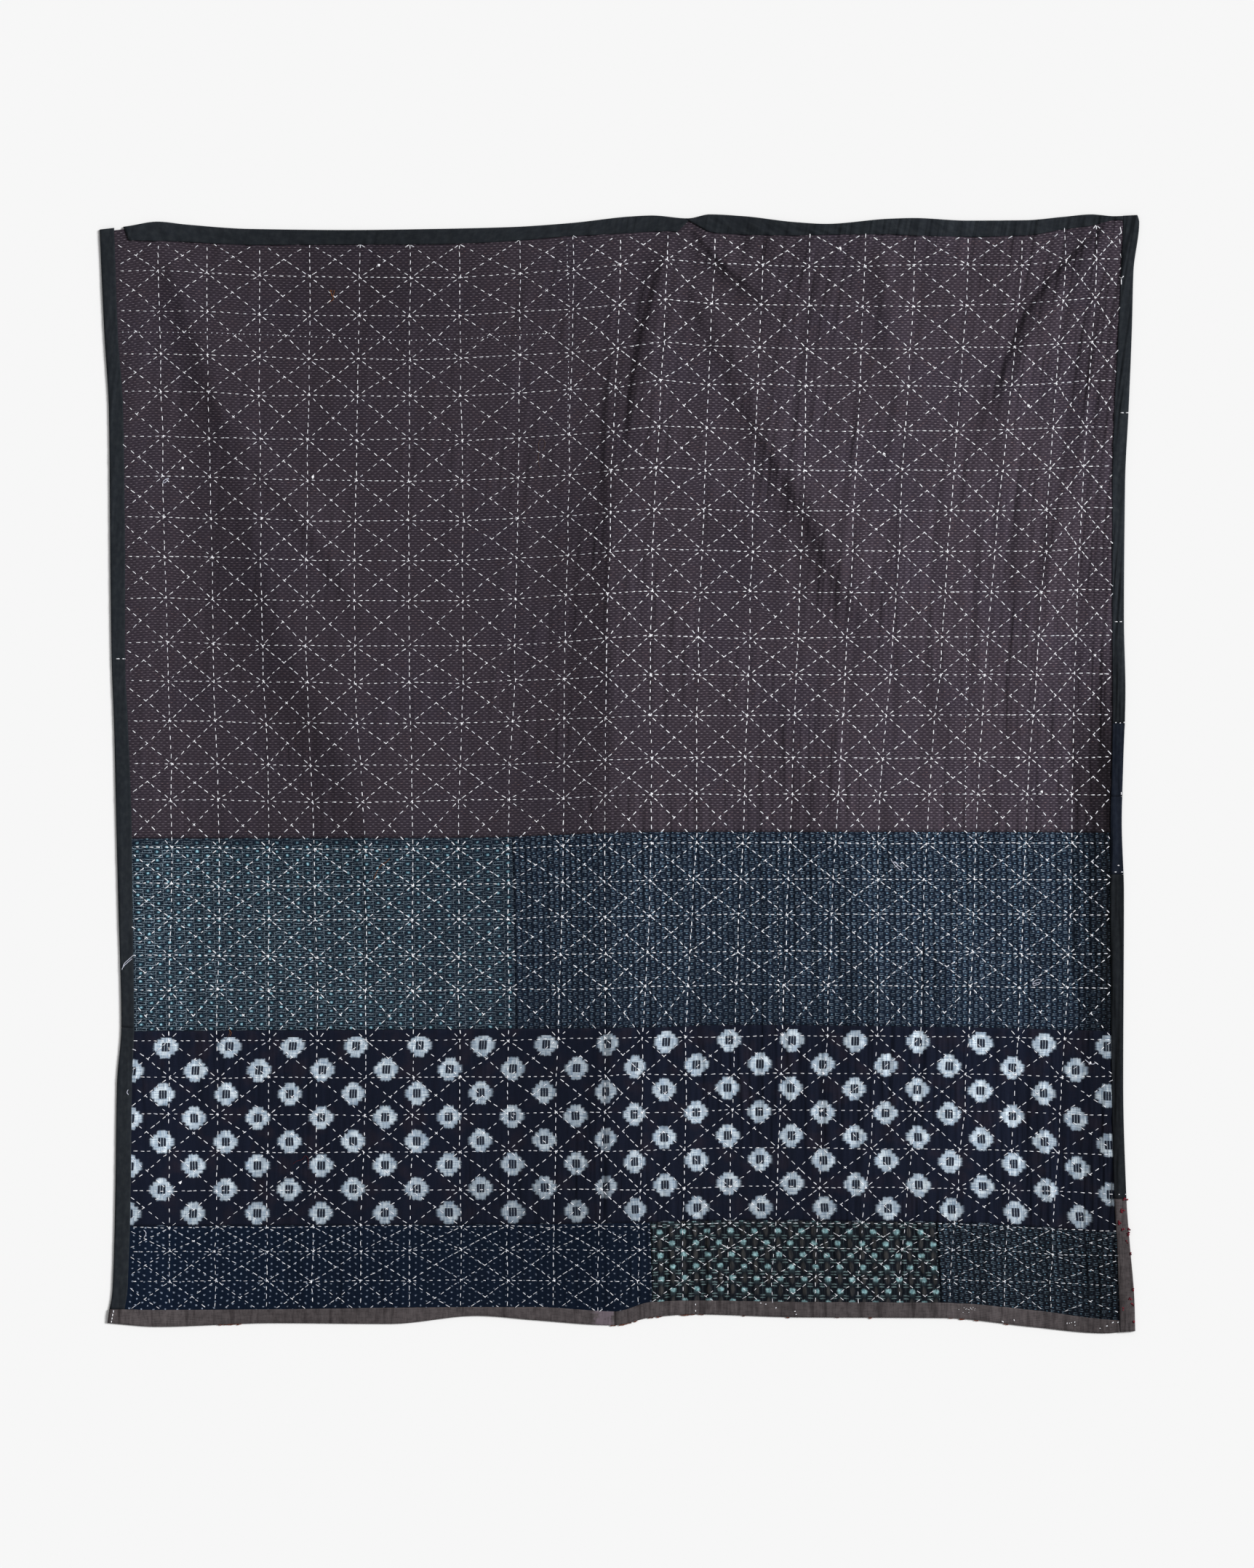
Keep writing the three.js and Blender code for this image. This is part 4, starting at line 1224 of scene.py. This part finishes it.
level, upright, falling, rising = [], [], [], []
for down in range(LEVELS):
    for across in range(UPRIGHTS - 1):
        here, beside = crossings[down, across], crossings[down, across + 1]
        if HEAD_ROW < down < FOOT_ROW:
            level += stitch_row(here, beside, *LEVEL_ROW)
        if down == FOOT_ROW:
            continue
        below, beyond = crossings[down + 1, across], crossings[down + 1, across + 1]
        if across:
            pitch, length, room = UPRIGHT_ROW
            first_room = HIDDEN_ROOM if down == HEAD_ROW else room
            last_room = HIDDEN_ROOM if down + 1 == FOOT_ROW else room
            upright += stitch_row(here, below, pitch, length, first_room, last_room)
        middle = (here + beyond + below + beside) / 4 + rng.normal(0, 1.2 * MM, 2)
        for slant, first, last in ((falling, here, beyond), (rising, below, beside)):
            for end in (first, last):
                pitch, length, room = SLANT_ROW
                tight = np.hypot(*(middle - end)) / SLANT_REACH
                at_binding = down == HEAD_ROW and (end is here or end is beside)
                room = HIDDEN_ROOM if at_binding else room * tight
                slant += stitch_row(end, middle, pitch, length, room, CROSS_ROOM * tight)
            way = (last - first) / np.hypot(*(last - first))
            slip = rng.choice([-1.5, 0, 1.5]) * MM
            tips = middle + way * (slip - 2.6 * MM), middle + way * (slip + 2.6 * MM)
            slant.append((*tips[0], *tips[1], thread_at(*middle), rng.uniform(0.6, 1)))

# The star at each crossing: strokes that pass through it or start from it.
for down in range(1, FOOT_ROW):
    for across in range(1, UPRIGHTS - 1):
        centre = crossings[down, across]
        for lines, share, way in (
            (upright, 0.95, crossings[down + 1, across] - crossings[down - 1, across]),
            (level, 0.3, crossings[down, across + 1] - crossings[down, across - 1]),
            (falling, 0.8, crossings[down + 1, across + 1] - crossings[down - 1, across - 1]),
            (rising, 0.8, crossings[down - 1, across + 1] - crossings[down + 1, across - 1]),
        ):
            if rng.random() > share:
                continue
            way = way / np.hypot(*way)
            turn = rng.normal(0, 0.12)
            way = np.array([way[0] - turn * way[1], way[1] + turn * way[0]])
            half = rng.uniform(2.0, 3.1) * MM
            shift = way * rng.choice([-1.2, 0, 0, 1.2]) * MM + rng.normal(0, 0.4 * MM, 2)
            lines.append((*(centre + shift - way * half), *(centre + shift + way * half),
                          thread_at(*centre) * rng.normal(1, 0.1), rng.uniform(0.6, 1)))

for name, lines in (("level", level), ("upright", upright), ("falling", falling), ("rising", rising)):
    sewn("stitches_" + name, shown(lines), white_thread)

# ---------------------------------------------------------------------------------------------
# Later sewing. Lines of tiny stitches that take up a tuck or a worn place, the overcast joints
# of the bindings, and the knots that finish a length of thread on the face of the cover.
# ---------------------------------------------------------------------------------------------

# Rows of tiny stitches, through the points of their paths, in millimetres.
TINY_ROWS = {
    "under the head": [(-689.5, 607), (-621.5, 606.5), (-561.5, 605), (-471.5, 602.5), (-396.5, 599.5),
                       (-296.5, 595.5), (-206.5, 598), (-136.5, 603), (-81.5, 606.5)],
    "beside the crease": [(-72.5, 734), (-71, 690), (-69, 640), (-70, 560), (-71, 464)],
    "east, plum": [(477, 209), (476.5, 120), (475, 20), (476, -80)],
    "east, slate": [(463, -86), (464, -200), (461, -344)],
    "middle, slate": [(219, -86), (217, -200), (220, -344)],
}
# Single stitches over a joint or on a binding, each from end to end.
BINDING_STITCHES = [
    (-691.5, 158, -686.5, 158), (-683.5, 158, -678.5, 158), (688.5, 496, 693, 496),
    (695.5, 496, 699.5, 496), (680.5, 209, 684.5, 209), (687, 209, 690.5, 209),
    (681, 70, 683, 70.5), (687, 69.5, 689, 70), (692.5, 70.5, 694.5, 71), (689.5, -25, 689.5, -29),
    (684, -126, 687, -126), (680, -135, 683, -135), (689, -135, 692, -135), (685.8, -578, 687.2, -578),
    (694.8, -577.8, 696.2, -578), (-694.8, -737, -695.5, -740.5),
    (-696, -742, -696.6, -745.5), (-696.9, -747, -697.5, -750), (-697.7, -751.5, -698.2, -754),
    (104.5, -728, 104.5, -730.5), (104.5, -737, 104.8, -739), (193, -727, 195, -727.5),
    (200, -729, 202, -728.5), (214, -734, 216, -733.5), (240, -739, 242, -738.5),
    (242, -743, 243.5, -742.5), (525, -752, 528, -753.5), (542, -749.5, 542.5, -752),
    (676.5, -755, 679, -753), (668, -759, 671, -758.5), (659.5, -762, 661, -761.5),
    (684, -754.5, 685.5, -753), (688, 752, 690, 742), (687, 735, 688, 728), (688, 715, 690, 709),
    (689.5, 680, 689.5, 672), (689.5, 681, 693, 684), (689.5, 681, 687, 683),
]
# Places gone over again and again: middle, spread, count, and how far each stitch runs.
OVERSEWN = [((481, -736), (5, 2), 14, (0.9, 0)), ((622, -755), (4, 1.2), 7, (1.4, 0.5))]
KNOTS = [(-330.5, 699), (303.5, 722), (561.5, 506), (363.5, 440), (579.5, -25), (547.5, 22),
         (-604.5, -562), (523.5, -472), (-600.5, 420), (-421.5, 407), (647, -398)]


def tiny_row(points, pitch, length):
    """A line of tiny stitches along a bent path."""
    points = MM * np.array(points)
    travelled = np.append(0, np.cumsum(np.hypot(*np.diff(points, axis=0).T)))
    middles = np.arange(pitch, travelled[-1], pitch)
    middles += rng.normal(0, 0.08 * pitch, len(middles))
    rows = []
    for middle in middles:
        ends = [[np.interp(middle + half, travelled, points[:, axis]) for axis in (0, 1)]
                for half in (-length / 2, length / 2)]
        rows.append((*ends[0], *ends[1], 1.1 * MM, rng.uniform(0.2, 0.8)))
    return rows


later = [row for points in TINY_ROWS.values() for row in tiny_row(points, 7.6 * MM, 2.1 * MM)]
for ends in BINDING_STITCHES:
    later.append((*(MM * np.array(ends)), 1.3 * MM, rng.uniform(0.6, 1)))
for middle, spread, count, run in OVERSEWN:
    for start in rng.normal(middle, spread, (count, 2)):
        later.append((*(MM * start), *(MM * (start + run)), 0.9 * MM, 0.9))
for x, y in KNOTS:
    for turn, wide in ((rng.uniform(0.2, 1.0), 2.6), (rng.uniform(1.6, 2.6), 2.2)):
        reach = 2.1 * np.array([np.cos(turn), np.sin(turn)])
        middle = np.array([x, y]) + rng.normal(0, 0.5, 2)
        later.append((*(MM * (middle - reach)), *(MM * (middle + reach)), MM * wide, 1.1))
sewn("later_stitches", later, white_thread)

# ---------------------------------------------------------------------------------------------
# Loose ends. Short tails and snarls of sewing thread left on the face, a red yarn that frays
# out of the lower east binding, and rust brown threads where the foot binding has worn through.
# ---------------------------------------------------------------------------------------------

LOOSE_THREADS = {
    "white": (1.0, [
        [(-668.5, -250), (-675.3, -256), (-680.3, -261), (-681.9, -265)],
        [(-669.5, -254), (-676.5, -260), (-681.5, -265), (-683.5, -269)],
        [(-675, -434), (-676.5, -438), (-674.5, -441)],
        [(-653.5, -627), (-650.8, -630), (-651, -634), (-653, -637)],
        [(376.7, -120.8), (380, -123), (384, -127), (388, -130), (386.5, -132), (382, -129),
         (378, -125), (376, -121.5)],
        [(373, -117), (376, -122), (379, -121), (382, -126)],
        [(567.5, -288), (571, -284.5), (577, -282.6), (579.5, -284.5), (573, -287.5), (568, -289.5),
         (574, -290), (578, -288)],
        [(640, -393), (645, -397), (650, -399), (654, -397.5)],
        [(-619.5, 406.5), (-624, 404.5), (-627, 400), (-623.5, 401), (-619.5, 406)],
    ]),
    "orange": (0.45, [
        [(-397.5, 665), (-396, 660), (-394, 656), (-393.3, 652), (-396, 650), (-399, 648)],
        [(-391.5, 665), (-392.5, 660), (-394, 656.5), (-396, 661), (-397.2, 664.5), (-394, 663)],
        [(-336.9, -144.6), (-334.9, -139), (-330.9, -131), (-325.9, -124.6), (-319.9, -121),
         (-314.9, -116)],
        [(-441, -151), (-439, -154), (-436.5, -155)],
        [(-536, -352), (-533.5, -356), (-535, -360)],
    ]),
    "brown": (0.35, [
        [(-107.7, 418), (-110.1, 423), (-111.1, 431), (-111.3, 438), (-110.3, 444), (-111.1, 452),
         (-109.7, 457), (-106.1, 460), (-103.3, 458), (-102.1, 453), (-103.3, 448), (-105.3, 444)],
        [(-537.1, -346), (-535.7, -353), (-537, -360), (-541, -366)],
    ]),
    "red": (0.5, [
        [(-448.5, -536), (-442.5, -532), (-435.7, -530), (-431.1, -525), (-428.1, -529),
         (-427.1, -536), (-426.1, -542)],
    ]),
}
# Frays: middle, spread and count of the ends that stick out.
RED_FRAYS = [
    (694.5, -585.4, 2, 4), (690.5, -600.4, 2.2, 7), (687, -617.6, 2, 5), (691.5, -626.6, 1.4, 4),
    (699, -626.4, 1.6, 5), (699, -631.8, 1.8, 6), (697.5, -642, 1.2, 3), (702.5, -660, 1.2, 3),
    (702.5, -721, 1.6, 4), (706, -728, 1.4, 4), (691.5, -735, 1.2, 3), (706, -709, 1.4, 4),
    (706.5, -753, 1.2, 4),
]
# Worn places along the foot: where along it, and how long.
FOOT_FRAYS = [(-535, 32), (-8, 6), (5, 9), (14, 6), (23, 5), (44, 6), (55, 7), (94, 20), (113, 6),
              (172, 5), (232, 5), (300, 5), (345, 4), (456, 5), (471, 6), (491, 5), (532, 4)]


def loose_threads(colour, width, paths):
    """Thin round tails that lie on the cloth, each bending smoothly through its points."""
    line = bpy.data.curves.new("loose_threads_" + colour, "CURVE")
    line.dimensions = "3D"
    line.bevel_depth = width / 2 * MM
    line.bevel_resolution = 1
    line.resolution_u = 5
    for path in paths:
        points = MM * np.array(path)
        heights = cloth_top(points[:, 0], points[:, 1]) + 0.7 * MM
        on_tape = inside_binding(points[:, 0], points[:, 1]) < 0
        heights = np.where(on_tape, BINDING_HEIGHT + 0.8 * MM, heights)
        spline = line.splines.new("BEZIER")
        spline.bezier_points.add(len(path) - 1)
        for bend, (x, y), z in zip(spline.bezier_points, points, heights):
            bend.co = x, y, z
            bend.handle_left_type = bend.handle_right_type = "AUTO"
    return new_piece(line.name, line)


thread_colours = {
    "white": white_thread,
    "orange": thread_material("orange_thread", (196, 132, 66), (140, 84, 38)),
    "brown": thread_material("brown_thread", (134, 108, 84), (96, 74, 58)),
    "red": thread_material("red_yarn", (112, 20, 38), (74, 12, 25)),
    "rust": thread_material("rust_yarn", (118, 58, 36), (62, 34, 26)),
}
for colour, (width, paths) in LOOSE_THREADS.items():
    threads = loose_threads(colour, width, paths)
    threads.data.materials.append(thread_colours[colour])
    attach(threads, "root")

red_ends = []
for x, y, spread, count in RED_FRAYS:
    for turn in rng.uniform(0, 6.28, count):
        reach = 1.5 * spread * np.array([np.cos(turn), np.sin(turn)])
        near = np.array([x, y]) + rng.normal(0, 0.6, 2)
        red_ends.append((*(MM * near), *(MM * (near + reach)), 2.3 * MM, rng.uniform(0, 1)))
sewn("red_frays", red_ends, thread_colours["red"])

rust_ends = []
for x, long in FOOT_FRAYS:
    for place in np.arange(x - long / 2, x + long / 2, 1.7) + rng.normal(0, 0.3):
        y = along(FOOT_EDGE, 1, np.array([MM * place]))[0] / MM + rng.uniform(-0.9, 0.4)
        near = MM * np.array([place - 1.2, y])
        far = MM * np.array([place + 1.2, y - rng.uniform(-0.5, 0.5)])
        rust_ends.append((*near, *far, 1.9 * MM, rng.uniform(0, 1)))
sewn("rust_frays", rust_ends, thread_colours["rust"], height=1.4 * MM)

# ---------------------------------------------------------------------------------------------
# The room: a pale floor under the cover, soft light from the east and the head, and a camera
# straight above.
# ---------------------------------------------------------------------------------------------

PAPER_WHITE = dyed(247, 247, 247)
scene = bpy.context.scene
scene.view_settings.view_transform = "Standard"

ground = bmesh.new()
bmesh.ops.create_grid(ground, x_segments=8, y_segments=8, size=20)
floor_mesh = bpy.data.meshes.new("floor")
ground.to_mesh(floor_mesh)
ground.free()
floor = new_piece("floor", floor_mesh)
floor_mesh.materials.append(new_material(
    "white_paper", {"Base Color": PAPER_WHITE, "Roughness": 1.0, "Specular IOR Level": 0.0})[0])

world = bpy.data.worlds.new("soft_room")
scene.world = world
world.use_nodes = True
sky = world.node_tree
looked_at = new_node(sky, "LightPath", {}, "Is Camera Ray")
fill = new_node(sky, "Background", {"Color": (1, 1, 1, 1), "Strength": 0.35})
seen = new_node(sky, "Background", {"Color": PAPER_WHITE, "Strength": 1.0})
feed(sky.nodes["World Output"].inputs["Surface"],
     new_node(sky, "MixShader", {0: looked_at, 1: fill, 2: seen}))

# How far the key light stands above the floor, in radians, and how bright it makes the floor.
KEY_HEIGHT, KEY_SHARE = 0.62, 0.65
key_light = bpy.data.lights.new("key", "SUN")
key_light.angle = 0.35
key_light.energy = KEY_SHARE * np.pi / np.sin(KEY_HEIGHT)
key = new_piece("key", key_light)
way_to_light = Vector((np.cos(KEY_HEIGHT) * 0.93, np.cos(KEY_HEIGHT) * 0.37, np.sin(KEY_HEIGHT)))
key.rotation_euler = way_to_light.to_track_quat("Z", "Y").to_euler()

CAMERA_HEIGHT = 6.0
VIEW_HEIGHT = 2.156
VIEW_MIDDLE = (0.0105, -0.014)
SENSOR = 36
lens = bpy.data.cameras.new("camera")
lens.sensor_width = SENSOR
lens.lens = SENSOR * CAMERA_HEIGHT / VIEW_HEIGHT
lens.clip_end = 100
camera = new_piece("camera", lens)
camera.location = (*VIEW_MIDDLE, CAMERA_HEIGHT)
scene.camera = camera

bpy.data.meshes.remove(stitch_form)
